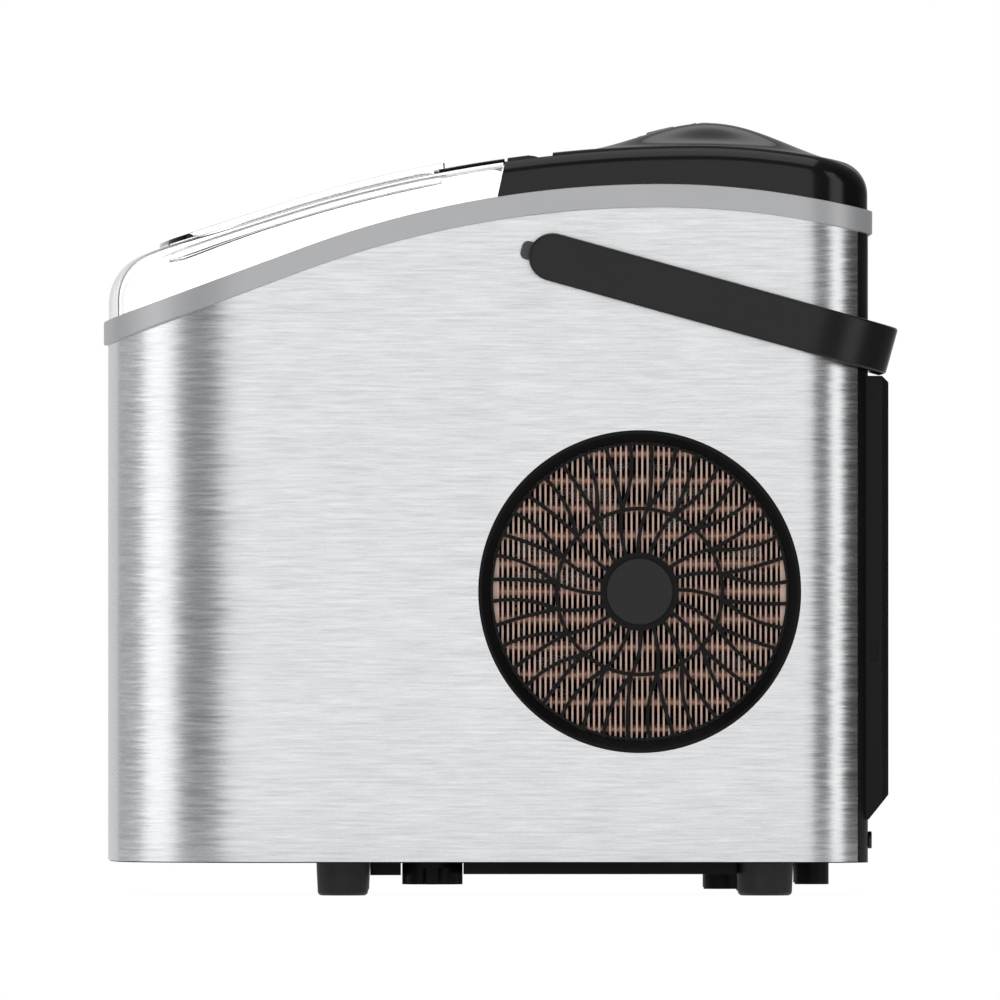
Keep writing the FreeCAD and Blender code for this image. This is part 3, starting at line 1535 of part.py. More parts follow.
def make_cord_gland():
    """Bush in the louvred box that the mains lead comes in through."""
    flange = on_gland(gland_flange_radius, 0, gland_flange)
    neck = on_gland(gland_radius, -gland_depth, 0)
    back = on_gland(gland_back_radius, -gland_depth, -panel_wall)
    return joined([flange, neck, back]).cut(on_gland(cord_radius, -20, 20))


def corner_reach():
    """Distance from the pivot to the farthest rear corner of the trim."""
    y = body_rear + trim_proud
    z = seam_at(y)
    lowest = z - trim_height
    return max(math.hypot(y - pivot, z - pivot_height), math.hypot(y - pivot, lowest - pivot_height))


def handle_plan(half_x, start, reach, half_z, radius):
    """A plate back from the pivots, with its two rear corners rounded."""
    z = (pivot_height - half_z, pivot_height + half_z)
    plate = block((-half_x, half_x), (start, pivot + reach), z)
    rear = [e for e in plate.Edges if e.BoundBox.ZLength > 10 and e.BoundBox.YMin > pivot + 10]
    return plate.makeFillet(radius, rear)


def make_carry_handle():
    """Bail handle: two arms and a cross bar, hanging back and down."""
    bar_inner = bar_reach()
    half = arm_width / 2
    outer = handle_plan(arm_outer, pivot, bar_inner + bar_thickness, half, arm_corner_radius)
    inner_corner = arm_corner_radius - arm_thickness
    inner = handle_plan(arm_inner, pivot - arm_width, bar_inner, arm_width, inner_corner)
    end = on_pivot(half, (arm_inner, arm_outer))
    bore = on_pivot(pivot_pin_radius + running, (arm_inner - 1, arm_outer - pin_recess))
    handle = without(joined([outer.cut(inner), end, mirrored(end)]), [bore, mirrored(bore)])
    handle.rotate(Vector(0, pivot, pivot_height), Vector(1, 0, 0), -handle_drop_angle)
    return handle


def make_handle_pivot(side):
    """Pivot plate riveted to the shell, with a pin and a stop lug."""
    plate_x = arm_inner - 0.3
    inner_face = half_width - shell_wall
    lug_z = (pivot_height - lug_half, pivot_height + lug_half)
    lug = block((half_width, plate_x), (pivot - lug_reach, pivot), lug_z)
    tail = [e for e in lug.Edges if e.BoundBox.XLength > 1 and e.BoundBox.YMax < pivot - 10]
    lug = lug.makeFillet(3.0, tail)
    lug.rotate(Vector(0, pivot, pivot_height), Vector(1, 0, 0), -handle_drop_angle)
    plate = joined([
        on_pivot(pivot_disc_radius, (half_width, plate_x)),
        on_pivot(pivot_pin_radius, (plate_x, arm_outer - pin_recess - 0.3)),
        on_pivot(screw_radius, (half_width - 6, half_width)),
        on_pivot(pivot_nut_radius, (inner_face - 3, inner_face)),
        lug,
    ])
    return plate if side > 0 else mirrored(plate)


def main_parts():
    """Every sub-part by name."""
    parts = {
        "base_tray": make_base_tray,
        "foot_screws": make_foot_screws,
        "steel_shell": make_steel_shell,
        "trim_band": make_trim_band,
        "top_cover": make_top_cover,
        "control_panel": make_control_panel,
        "indicator_lamps": make_indicator_lamps,
        "control_board": make_control_board,
        "back_panel": make_back_panel,
        "back_panel_screws": make_back_panel_screws,
        "cord_gland": make_cord_gland,
        "vent_bezel": make_vent_bezel,
        "vent_grille": make_vent_grille,
        "grille_cap": make_grille_cap,
        "condenser_fins": make_condenser_fins,
        "condenser_tube": make_condenser_tube,
        "condenser_end_plates": make_condenser_end_plates,
        "fan_shroud": make_fan_shroud,
        "fan_motor": make_fan_motor,
        "fan_shaft": make_fan_shaft,
        "fan_impeller": make_fan_impeller,
        "compressor": make_compressor,
        "compressor_grommets": make_compressor_grommets,
        "relay_cover": make_relay_cover,
        "filter_drier": make_filter_drier,
        "discharge_line": make_discharge_line,
        "suction_line": make_suction_line,
        "capillary_line": make_capillary_line,
        "evaporator_block": make_evaporator_block,
        "freezing_fingers": make_freezing_fingers,
        "evaporator_bracket": make_evaporator_bracket,
        "water_tray": make_water_tray,
        "ice_pusher": make_ice_pusher,
        "tray_motor": make_tray_motor,
        "shaft_bush": make_shaft_bush,
        "inner_liner": make_inner_liner,
        "foam_insulation": make_foam_insulation,
        "bulkhead": make_bulkhead,
        "ice_basket": make_ice_basket,
        "ice_full_sensor": make_ice_full_sensor,
        "water_pump": make_water_pump,
        "pump_hose": make_pump_hose,
        "drain_spout": make_drain_spout,
        "drain_cap": make_drain_cap,
        "drain_seal": make_drain_seal,
        "lid_window": make_lid_window,
        "lid_hinge_bar": make_lid_hinge_bar,
        "lid_hinge_pins": make_lid_hinge_pins,
        "carry_handle": make_carry_handle,
        "left_handle_pivot": lambda: make_handle_pivot(-1),
        "right_handle_pivot": lambda: make_handle_pivot(1),
        "power_button": lambda: make_button(-1),
        "size_button": lambda: make_button(0),
        "clean_button": lambda: make_button(1),
    }
    for name, radius, x, y in foot_places():
        parts[name] = lambda radius=radius, x=x, y=y: make_foot(radius, x, y)
    return parts


os.makedirs("parts", exist_ok=True)
for node, make in main_parts().items():
    make().exportStep("parts/" + node + ".step")
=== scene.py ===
import json
import math

import bmesh
import bpy
from mathutils import Matrix, Vector


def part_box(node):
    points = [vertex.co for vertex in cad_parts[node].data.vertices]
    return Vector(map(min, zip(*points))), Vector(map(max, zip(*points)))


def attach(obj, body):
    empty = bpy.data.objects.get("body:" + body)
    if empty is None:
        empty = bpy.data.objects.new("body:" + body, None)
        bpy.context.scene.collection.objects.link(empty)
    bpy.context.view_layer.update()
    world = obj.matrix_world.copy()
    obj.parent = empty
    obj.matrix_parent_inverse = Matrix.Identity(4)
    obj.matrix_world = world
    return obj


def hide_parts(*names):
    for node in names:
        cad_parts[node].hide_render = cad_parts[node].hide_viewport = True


# A countertop ice maker, put together in the order of its own assembly. Metres,
# +Z up; -Y is the front with the clear lid, +X the side with the round grille.
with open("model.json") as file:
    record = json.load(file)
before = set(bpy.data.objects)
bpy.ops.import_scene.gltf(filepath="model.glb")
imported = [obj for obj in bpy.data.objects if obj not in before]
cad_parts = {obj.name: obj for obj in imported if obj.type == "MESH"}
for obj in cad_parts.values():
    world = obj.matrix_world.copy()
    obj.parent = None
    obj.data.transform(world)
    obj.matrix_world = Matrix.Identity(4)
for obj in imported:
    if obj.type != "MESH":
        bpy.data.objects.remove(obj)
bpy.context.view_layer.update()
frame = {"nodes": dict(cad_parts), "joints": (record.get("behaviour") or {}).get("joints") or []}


# ---- Studio ----
# A very long lens looks square at the grille side. Upright soft panels stand round the
# machine, and the dark gaps between them draw the bands on its steel corners.
side_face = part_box("steel_shell")[1].x
lens_distance = 20.0
lens_height = 0.1843
seen_width = 0.465

camera_data = bpy.data.cameras.new("camera")
camera_data.sensor_width = 36
camera_data.lens = 36 * (lens_distance - side_face) / seen_width
camera_data.clip_end = 100
camera = bpy.data.objects.new("camera", camera_data)
camera.location = (lens_distance, 0, lens_height)
camera.rotation_euler = (math.pi / 2, 0, math.pi / 2)
bpy.context.collection.objects.link(camera)
bpy.context.scene.camera = camera
bpy.context.scene.view_settings.view_transform = "Standard"

panel_distance = 3.2
panel_size = 3.6
panel_level = 0.2


def stand_panel(name, turn, spread, brightness, mirrored=True):
    """An upright soft panel, turned by degrees from the grille side towards the front."""
    width = 2 * panel_distance * math.tan(math.radians(spread))
    lamp = bpy.data.lights.new(name, "AREA")
    lamp.shape = "RECTANGLE"
    lamp.size = width
    lamp.size_y = panel_size
    lamp.energy = brightness * math.pi * width * panel_size
    way = Vector((math.cos(math.radians(turn)), -math.sin(math.radians(turn)), 0))
    stand = bpy.data.objects.new(name, lamp)
    stand.location = way * panel_distance + Vector((0, 0, panel_level))
    stand.rotation_euler = way.to_track_quat("Z", "Y").to_euler()
    stand.visible_camera = False
    stand.visible_glossy = mirrored
    bpy.context.collection.objects.link(stand)


stand_panel("grille_side_panel", 9, 28, 0.85)
stand_panel("front_panel", 90, 17, 1.25)
stand_panel("front_fill_panel", 134, 22, 0.25)
stand_panel("rear_corner_panel", -61, 12, 1.4)
stand_panel("far_side_panel", 180, 24, 0.62)
stand_panel("rear_panel", -115, 14, 0.8, mirrored=False)

top_lamp = bpy.data.lights.new("top_panel", "AREA")
top_lamp.size = 2.4
top_lamp.energy = 1.3 * math.pi * top_lamp.size ** 2
top_panel = bpy.data.objects.new("top_panel", top_lamp)
top_panel.location = (0.5, 0, 2.6)
top_panel.rotation_euler = Vector((0.5, 0, 2.4)).to_track_quat("Z", "Y").to_euler()
top_panel.visible_camera = False
bpy.context.collection.objects.link(top_panel)


def add_node(tree, kind, **values):
    """A shader node with the values of its inputs."""
    made = tree.nodes.new("ShaderNode" + kind)
    for name, value in values.items():
        made.inputs[name.replace("_", " ")].default_value = value
    return made


def add_math(tree, operation, first, second):
    """A Math node over two sockets or numbers."""
    made = tree.nodes.new("ShaderNodeMath")
    made.operation = operation
    for place, value in enumerate((first, second)):
        if isinstance(value, bpy.types.NodeSocket):
            tree.links.new(value, made.inputs[place])
        else:
            made.inputs[place].default_value = value
    return made.outputs[0]


def mix_shaders(tree, factor, first, second):
    """One shader in place of another, by a factor."""
    made = tree.nodes.new("ShaderNodeMixShader")
    tree.links.new(factor, made.inputs[0])
    tree.links.new(first.outputs[0], made.inputs[1])
    tree.links.new(second.outputs[0], made.inputs[2])
    return made


world = bpy.data.worlds.new("studio")
world.use_nodes = True
bpy.context.scene.world = world
sky = world.node_tree
sky.nodes.clear()
room = add_node(sky, "Background", Color=(0.60, 0.61, 0.62, 1), Strength=1.0)
gaps = add_node(sky, "Background", Color=(0.20, 0.205, 0.21, 1))
direction = sky.nodes.new("ShaderNodeTexCoord")
split = sky.nodes.new("ShaderNodeSeparateXYZ")
sky.links.new(direction.outputs["Generated"], split.inputs[0])
darker_rear = add_node(sky, "MapRange", From_Min=0.3, From_Max=0.9, To_Min=1.0, To_Max=0.12)
sky.links.new(split.outputs["Y"], darker_rear.inputs["Value"])
sky.links.new(darker_rear.outputs[0], gaps.inputs["Strength"])
white = add_node(sky, "Background", Color=(1, 1, 1, 1), Strength=1.0)
ray = sky.nodes.new("ShaderNodeLightPath")
bounced = add_math(sky, "MINIMUM", ray.outputs["Glossy Depth"], 1.0)
through = add_math(sky, "MINIMUM", ray.outputs["Transmission Depth"], 1.0)
seen = add_math(sky, "MAXIMUM", ray.outputs["Is Camera Ray"], through)
lit = mix_shaders(sky, bounced, room, gaps)
shown = mix_shaders(sky, seen, lit, white)
sky_out = sky.nodes.new("ShaderNodeOutputWorld")
sky.links.new(shown.outputs[0], sky_out.inputs[0])

floor_radius = 0.62
bm = bmesh.new()
bmesh.ops.create_circle(bm, cap_ends=True, segments=96, radius=floor_radius)
floor_mesh = bpy.data.meshes.new("floor")
bm.to_mesh(floor_mesh)
bm.free()
floor = bpy.data.objects.new("floor", floor_mesh)
bpy.context.collection.objects.link(floor)
paper = bpy.data.materials.new("pale_paper")
paper.use_nodes = True
tree = paper.node_tree
tree.nodes.clear()
matt = add_node(tree, "BsdfDiffuse", Color=(0.86, 0.86, 0.86, 1))
glow = add_node(tree, "Emission", Color=(1, 1, 1, 1), Strength=1.03)
ray = tree.nodes.new("ShaderNodeLightPath")
shown_white = add_math(tree, "MULTIPLY", ray.outputs["Is Camera Ray"], 0.95)
mirrored_white = add_math(tree, "MULTIPLY", ray.outputs["Is Glossy Ray"], 0.6)
share = add_math(tree, "MAXIMUM", shown_white, mirrored_white)
surface = mix_shaders(tree, share, matt, glow)
paper_out = tree.nodes.new("ShaderNodeOutputMaterial")
tree.links.new(surface.outputs[0], paper_out.inputs[0])
floor_mesh.materials.append(paper)


# ---- Steel shell ----
# One sheet of brushed stainless steel, folded round the bowed front, the two sides
# and the rear corners, trimmed along the sloping seam, with a hole for the grille.
shell_low, shell_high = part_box("steel_shell")
trim_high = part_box("trim_band")[1]
half_width = shell_high.x
front = shell_low.y
trim_proud = trim_high.x - half_width
rear = trim_high.y - trim_proud
bow_radius = 0.600
front_corner = 0.072
rear_corner = 0.030
steel_thickness = 0.0008
base_line = 0.0005
corner_x = half_width - front_corner
corner_y = front + bow_radius - math.sqrt((bow_radius - front_corner) ** 2 - corner_x ** 2)
bow_turn = math.asin(corner_x / (bow_radius - front_corner))
rear_x = half_width - rear_corner
rear_y = rear - rear_corner


def draw_arc(bm, tip, centre, turn, steps):
    """Draws on from a point round a centre, and gives the new end."""
    made = bmesh.ops.spin(bm, geom=[tip], cent=centre, axis=(0, 0, 1), dvec=(0, 0, 0),
                          angle=turn, steps=steps, use_duplicate=False)
    return made["geom_last"][0]


def draw_line(bm, tip, end, steps=1):
    """Draws a straight run of edges on from a point, and gives the new end."""
    start = tip.co.copy()
    for step in range(steps):
        tip = bmesh.ops.extrude_vert_indiv(bm, verts=[tip])["verts"][0]
        tip.co = start.lerp(Vector(end), (step + 1) / steps)
    return tip


def draw_outline(bm, start=None, stop=None, steps=60):
    """The right half of the body's outline from above; start or stop ends it on the side."""
    if start is None:
        tip = bm.verts.new((0, front, 0))
        tip = draw_arc(bm, tip, (0, front + bow_radius, 0), bow_turn, 12)
        tip = draw_arc(bm, tip, (corner_x, corner_y, 0), math.pi / 2 - bow_turn, 28)
    else:
        tip = bm.verts.new((half_width, start, 0))
    tip = draw_line(bm, tip, (half_width, rear_y if stop is None else stop, 0), steps)
    if stop is None:
        tip = draw_arc(bm, tip, (rear_x, rear_y, 0), math.pi / 2, 18)
        draw_line(bm, tip, (0, rear, 0))
    outline = bm.verts.layers.float_vector.new("outline")
    for vert in bm.verts:
        vert[outline] = vert.co
    return bm.edges[:]


def inward(point):
    """The level way into the body from a point near the right half of its outline."""
    if point.y < corner_y:
        beyond_corner = point.x * math.cos(bow_turn) < (front + bow_radius - point.y) * math.sin(bow_turn)
        middle = (0, front + bow_radius) if beyond_corner else (corner_x, corner_y)
        return Vector((middle[0] - point.x, middle[1] - point.y, 0)).normalized()
    if point.y > rear_y:
        if point.x > rear_x:
            return Vector((rear_x - point.x, rear_y - point.y, 0)).normalized()
        return Vector((0, -1, 0))
    return Vector((-1, 0, 0))


def place_loop(bm, edges, where):
    """Puts each point of a loop where its place on the outline says."""
    outline = bm.verts.layers.float_vector["outline"]
    for vert in {v for edge in edges for v in edge.verts}:
        vert.co = where(Vector(vert[outline]))
    return edges


def carry_loop(bm, edges, where):
    """Extrudes a loop of edges, and places the new loop."""
    made = bmesh.ops.extrude_edge_only(bm, edges=edges)["geom"]
    return place_loop(bm, [g for g in made if isinstance(g, bmesh.types.BMEdge)], where)


seam_peak = rear - 0.097
seam_top = trim_high.z
seam_front_radius = 0.480
seam_rear_radius = 0.385
seam_slope = math.radians(20.4)
trim_height = 0.0109


def seam_height(y):
    """Height of the sloping seam, which is the trim's top edge."""
    straight_from = seam_peak - seam_front_radius * math.sin(seam_slope)
    if y < straight_from:
        fall = seam_front_radius * (1 - math.cos(seam_slope))
        return seam_top - fall - (straight_from - y) * math.tan(seam_slope)
    radius = seam_front_radius if y < seam_peak else seam_rear_radius
    return seam_top - radius + math.sqrt(radius ** 2 - (y - seam_peak) ** 2)


def mirror_half(bm):
    """Adds the left half, closes the middle and turns the faces outwards."""
    bmesh.ops.mirror(bm, geom=bm.verts[:] + bm.edges[:] + bm.faces[:], matrix=Matrix(),
                     merge_dist=1e-6, axis="X")
    bmesh.ops.remove_doubles(bm, verts=bm.verts, dist=1e-6)
    bmesh.ops.recalc_face_normals(bm, faces=bm.faces)


def ease_edges(bm, width, steps=2, sharper_than=50):
    """Rounds every edge where two faces meet at a sharp angle."""
    sharp = [e for e in bm.edges if len(e.link_faces) == 2
             and e.calc_face_angle(0) > math.radians(sharper_than)]
    bmesh.ops.bevel(bm, geom=sharp, offset=width, offset_type="OFFSET", segments=steps, profile=0.5,
                    affect="EDGES", material=-1, clamp_overlap=True)


def finish_piece(bm, name, body, material, nodes=()):
    """Makes the piece: smooth where its faces nearly agree, and riding on its body."""
    mesh = bpy.data.meshes.new(name)
    bm.to_mesh(mesh)
    bm.free()
    mesh.shade_smooth()
    mesh.set_sharp_from_angle(angle=math.radians(38))
    mesh.materials.append(material)
    piece = bpy.data.objects.new(name, mesh)
    bpy.context.collection.objects.link(piece)
    shading = piece.modifiers.new("even_shading", "WEIGHTED_NORMAL")
    shading.keep_sharp = True
    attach(piece, body)
    if nodes:
        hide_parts(*nodes)
    return piece


def new_material(name, **values):
    """A material with one Principled shader and the values of its sockets."""
    material = bpy.data.materials.new(name)
    material.use_nodes = True
    shader = material.node_tree.nodes["Principled BSDF"]
    for socket, value in values.items():
        shader.inputs[socket.replace("_", " ")].default_value = value
    return material, material.node_tree, shader


def brushed_steel():
    """Stainless sheet: fine level scratches that scatter the light up and down."""
    material, tree, shader = new_material("brushed_steel", Metallic=1.0, Anisotropic=0.55)
    place = tree.nodes.new("ShaderNodeTexCoord")
    streaks = []
    for run, rise in ((36, 820), (120, 2600), (9, 130)):
        stretch = add_node(tree, "Mapping", Scale=(run, run, rise))
        tree.links.new(place.outputs["Object"], stretch.inputs["Vector"])
        noise = add_node(tree, "TexNoise", Scale=1.0, Detail=3.0, Roughness=0.6)
        tree.links.new(stretch.outputs[0], noise.inputs["Vector"])
        streaks.append(noise)
    coarse, fine, cloud = (noise.outputs["Fac"] for noise in streaks)
    grain = add_math(tree, "ADD", add_math(tree, "MULTIPLY", coarse, 0.62),
                     add_math(tree, "MULTIPLY", fine, 0.26))
    grain = add_math(tree, "ADD", grain, add_math(tree, "MULTIPLY", cloud, 0.12))
    tone = tree.nodes.new("ShaderNodeValToRGB")
    tone.color_ramp.elements[0].position = 0.34
    tone.color_ramp.elements[0].color = (0.60, 0.61, 0.62, 1)
    tone.color_ramp.elements[1].position = 0.66
    tone.color_ramp.elements[1].color = (0.86, 0.865, 0.87, 1)
    tree.links.new(grain, tone.inputs[0])
    tree.links.new(tone.outputs[0], shader.inputs["Base Color"])
    dull = tree.nodes.new("ShaderNodeMapRange")
    dull.inputs["To Min"].default_value = 0.20
    dull.inputs["To Max"].default_value = 0.34
    tree.links.new(coarse, dull.inputs["Value"])
    tree.links.new(dull.outputs[0], shader.inputs["Roughness"])
    surface = tree.nodes.new("ShaderNodeNewGeometry")
    shake = tree.nodes.new("ShaderNodeVectorMath")
    shake.operation = "MULTIPLY_ADD"
    shake.inputs[1].default_value = (0.16, 0.16, 0.0)
    tree.links.new(streaks[0].outputs["Color"], shake.inputs[0])
    centred = tree.nodes.new("ShaderNodeVectorMath")
    centred.operation = "ADD"
    centred.inputs[1].default_value = (-0.08, -0.08, 0.0)
    tree.links.new(surface.outputs["Normal"], centred.inputs[0])
    tree.links.new(centred.outputs[0], shake.inputs[2])
    level = tree.nodes.new("ShaderNodeVectorMath")
    level.operation = "NORMALIZE"
    tree.links.new(shake.outputs[0], level.inputs[0])
    tree.links.new(level.outputs[0], shader.inputs["Normal"])
    lay = tree.nodes.new("ShaderNodeTangent")
    lay.axis = "Z"
    tree.links.new(lay.outputs[0], shader.inputs["Tangent"])
    return material


grille_low, grille_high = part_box("vent_grille")
vent_middle = (grille_low + grille_high) / 2
vent_radius = 0.0751
patch_half = vent_radius + 0.0008
panel_joint = rear - 0.0049


def in_patch(point, margin=1e-5):
    """Whether a point of the right side lies in the square round the hole."""
    return (point.x > half_width - 1e-4 and abs(point.y - vent_middle.y) < patch_half + margin
            and abs(point.z - vent_middle.z) < patch_half + margin)


def cut_vent(bm):
    """Opens the round hole in the right side, inside a square patch of the sheet."""
    for normal in (Vector((0, 1, 0)), Vector((0, 0, 1))):
        for side in (-patch_half, patch_half):
            bmesh.ops.bisect_plane(bm, geom=bm.verts[:] + bm.edges[:] + bm.faces[:], dist=1e-6,
                                   plane_co=vent_middle + normal * side, plane_no=normal)
    inside = [f for f in bm.faces if in_patch(f.calc_center_median(), 0)]
    bmesh.ops.delete(bm, geom=inside, context="FACES")
    for longest, cuts in ((0.02, 60), (0.003, 1)):
        square = [e for e in bm.edges if e.is_boundary and all(in_patch(v.co) for v in e.verts)]
        long_edges = [e for e in square if e.calc_length() > longest]
        bmesh.ops.subdivide_edges(bm, edges=long_edges, cuts=cuts)
    square = [e for e in bm.edges if e.is_boundary and all(in_patch(v.co) for v in e.verts)]
    made = bmesh.ops.extrude_edge_only(bm, edges=square)["geom"]
    for vert in (g for g in made if isinstance(g, bmesh.types.BMVert)):
        out = Vector((0, vert.co.y - vent_middle.y, vert.co.z - vent_middle.z)).normalized()
        vert.co = Vector((half_width, vent_middle.y, vent_middle.z)) + out * vent_radius


steel = brushed_steel()
bm = bmesh.new()
edges = place_loop(bm, draw_outline(bm), lambda p: Vector((p.x, p.y, shell_low.z + base_line)))
carry_loop(bm, edges, lambda p: Vector((p.x, p.y, seam_height(p.y) - trim_height)))
bmesh.ops.bisect_plane(bm, geom=bm.verts[:] + bm.edges[:] + bm.faces[:], dist=1e-6,
                       plane_co=(0, panel_joint, 0), plane_no=(0, 1, 0), clear_outer=True)
bmesh.ops.mirror(bm, geom=bm.verts[:] + bm.edges[:] + bm.faces[:], matrix=Matrix(),
                 merge_dist=1e-6, axis="X")
cut_vent(bm)
bmesh.ops.remove_doubles(bm, verts=bm.verts, dist=1e-6)
bmesh.ops.recalc_face_normals(bm, faces=bm.faces)
bmesh.ops.solidify(bm, geom=bm.faces[:], thickness=steel_thickness)
finish_piece(bm, "brushed_shell", "housing", steel, ["steel_shell"])


# ---- Silver trim ----
# A moulded band with a satin silver coat that covers the shell's cut edge. It
# stands two millimetres proud all round and follows the sloping seam.
trim_depth = 0.006
trim_edge = 0.0005


def build_moulded_surface():
    """The node group of every moulded part: fine grain, faint clouding and a rubbed sheen."""
    group = bpy.data.node_groups.new("moulded_surface", "ShaderNodeTree")
    sockets = (("Colour", "NodeSocketColor", "INPUT"), ("Clouding", "NodeSocketFloat", "INPUT"),
               ("Smooth", "NodeSocketFloat", "INPUT"), ("Dull", "NodeSocketFloat", "INPUT"),
               ("Grain", "NodeSocketFloat", "INPUT"), ("Depth", "NodeSocketFloat", "INPUT"),
               ("Colour", "NodeSocketColor", "OUTPUT"), ("Roughness", "NodeSocketFloat", "OUTPUT"),
               ("Normal", "NodeSocketVector", "OUTPUT"))
    for name, kind, side in sockets:
        group.interface.new_socket(name, in_out=side, socket_type=kind)
    given = group.nodes.new("NodeGroupInput")
    result = group.nodes.new("NodeGroupOutput")
    place = group.nodes.new("ShaderNodeTexCoord")
    cloud = add_node(group, "TexNoise", Scale=22.0, Detail=4.0, Roughness=0.55)
    group.links.new(place.outputs["Object"], cloud.inputs["Vector"])
    grain = add_node(group, "TexNoise", Detail=2.0, Roughness=0.5)
    group.links.new(place.outputs["Object"], grain.inputs["Vector"])
    group.links.new(given.outputs["Grain"], grain.inputs["Scale"])
    drift = add_math(group, "SUBTRACT", cloud.outputs["Fac"], 0.5)
    drift = add_math(group, "MULTIPLY", drift, given.outputs["Clouding"])
    speck = add_math(group, "SUBTRACT", grain.outputs["Fac"], 0.5)
    speck = add_math(group, "MULTIPLY", speck, given.outputs["Clouding"])
    tone = add_math(group, "ADD", add_math(group, "ADD", drift, speck), 1.0)
    tint = group.nodes.new("ShaderNodeVectorMath")
    tint.operation = "SCALE"
    group.links.new(given.outputs["Colour"], tint.inputs[0])
    group.links.new(tone, tint.inputs["Scale"])
    group.links.new(tint.outputs[0], result.inputs["Colour"])
    sheen = group.nodes.new("ShaderNodeMapRange")
    sheen.inputs["From Min"].default_value = 0.3
    sheen.inputs["From Max"].default_value = 0.7
    group.links.new(cloud.outputs["Fac"], sheen.inputs["Value"])
    group.links.new(given.outputs["Smooth"], sheen.inputs["To Min"])
    group.links.new(given.outputs["Dull"], sheen.inputs["To Max"])
    group.links.new(sheen.outputs[0], result.inputs["Roughness"])
    relief = add_node(group, "Bump", Strength=1.0)
    group.links.new(grain.outputs["Fac"], relief.inputs["Height"])
    group.links.new(given.outputs["Depth"], relief.inputs["Distance"])
    group.links.new(relief.outputs[0], result.inputs["Normal"])
    return group


moulded_surface = build_moulded_surface()


def moulded(name, colour, smooth, dull, grain, depth, clouding=0.12, **values):
    """A moulded or painted finish: the surface group feeding one Principled shader."""
    material, tree, shader = new_material(name, **values)
    surface = tree.nodes.new("ShaderNodeGroup")
    surface.node_tree = moulded_surface
    surface.inputs["Colour"].default_value = (*colour, 1)
    for socket, value in (("Clouding", clouding), ("Smooth", smooth), ("Dull", dull),
                          ("Grain", grain), ("Depth", depth)):
        surface.inputs[socket].default_value = value
    tree.links.new(surface.outputs["Colour"], shader.inputs["Base Color"])
    tree.links.new(surface.outputs["Roughness"], shader.inputs["Roughness"])
    tree.links.new(surface.outputs["Normal"], shader.inputs["Normal"])
    return material


def trim_place(inset, drop):
    """Where a loop of the trim lies: its inset from the outline and its drop under the seam."""
    return lambda p: p + inward(p) * inset + Vector((0, 0, seam_height(p.y) - drop - p.z))


silver = moulded("satin_silver", (0.46, 0.46, 0.465), 0.40, 0.48, 1800, 0.00001, 0.05, Metallic=0.6)
bm = bmesh.new()
first = place_loop(bm, draw_outline(bm), trim_place(-trim_proud, trim_height))
loop = carry_loop(bm, first, trim_place(-trim_proud, 0))
loop = carry_loop(bm, loop, trim_place(trim_depth - trim_proud, 0))
last = carry_loop(bm, loop, trim_place(trim_depth - trim_proud, trim_height))
bmesh.ops.bridge_loops(bm, edges=first + last)
mirror_half(bm)
ease_edges(bm, trim_edge)
finish_piece(bm, "silver_trim", "housing", silver, ["trim_band"])


# ---- Console cover ----
# The gloss black cover behind the lid, moulded in one piece with the low dome that
# carries the controls. It is clipped into the trim, and its cheeks hold the hinge.
joints = {joint["name"]: joint for joint in frame["joints"]}
hinge = Vector(joints["lid_hinge"]["pos_m"])
crown_peak = rear - 0.0794
crown_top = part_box("top_cover")[1].z - 0.0111
crown_front_radius = 0.640
crown_slope = math.radians(17.6)
crown_rear_radius = 0.300
hood_inset = 0.0003
hood_wall = 0.0025
side_round = 0.009
nose_round = 0.024
tail_round = 0.016
dome_rise = 0.011
dome_reach = 0.063
dome_straight = 0.045
dome_middle = rear - 0.0734
joint_line = hinge.y + 0.0106
cheek_inner = half_width - 0.0044
lid_lean = math.radians(12.3)
lid_joint_foot = Vector((0, hinge.y - 0.0150, hinge.z - 0.0085))


def crown_height(y):
    """Height of the hood's top line."""
    straight_from = crown_peak - crown_front_radius * math.sin(crown_slope)
    if y < straight_from:
        fall = crown_front_radius * (1 - math.cos(crown_slope))
        return crown_top - fall - (straight_from - y) * math.tan(crown_slope)
    radius = crown_front_radius if y < crown_peak else crown_rear_radius
    return crown_top - radius + math.sqrt(radius ** 2 - (y - crown_peak) ** 2)


def crown_lean(y):
    """Angle by which the hood's top line falls at a place, forwards or back."""
    if y > crown_peak:
        return math.asin((y - crown_peak) / crown_rear_radius)
    return min(math.asin((crown_peak - y) / crown_front_radius), crown_slope)


def hood_point(origin, share):
    """A point of the hood's rounded edge, from the wall at 0 to the top at 1."""
    way = inward(origin)
    end_round = nose_round if way.y > 0 else tail_round
    radius = side_round + (end_round - side_round) * way.y ** 2
    wall = origin + way * hood_inset
    lean = crown_lean(wall.y + way.y * radius * 0.7) * abs(way.y)
    turn = (math.pi / 2 - lean) * share
    top = wall + way * radius * (1 - math.sin(lean))
    height = crown_height(top.y) - radius * math.cos(lean) + radius * math.sin(turn)
    point = wall + way * radius * (1 - math.cos(turn))
    return Vector((point.x, point.y, height))


def hood_foot(origin):
    """A point of the hood's lower edge, on the trim."""
    point = origin + inward(origin) * hood_inset
    return Vector((point.x, point.y, seam_height(point.y) + 0.0001))


def dome_height(x, y):
    """Rise of the dome: a straight bell with a half bell at each end."""
    distance = math.hypot(max(abs(x) - dome_straight, 0), y - dome_middle)
    return dome_rise * (1 + math.cos(math.pi * min(distance / dome_reach, 1))) / 2


press_way = Vector(joints["power_press"]["axis"])
face_low, face_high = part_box("control_panel")
face_middle = Vector((0, (face_low.y + face_high.y) / 2, (face_low.z + face_high.z) / 2 + 0.0008))
face_half = Vector((face_high.x, (face_high.y - face_low.y) / 2, 0))
face_slope = -press_way.y / press_way.z
seat_margin = 0.001
seat_blend = 0.005
seat_sink = 0.0005


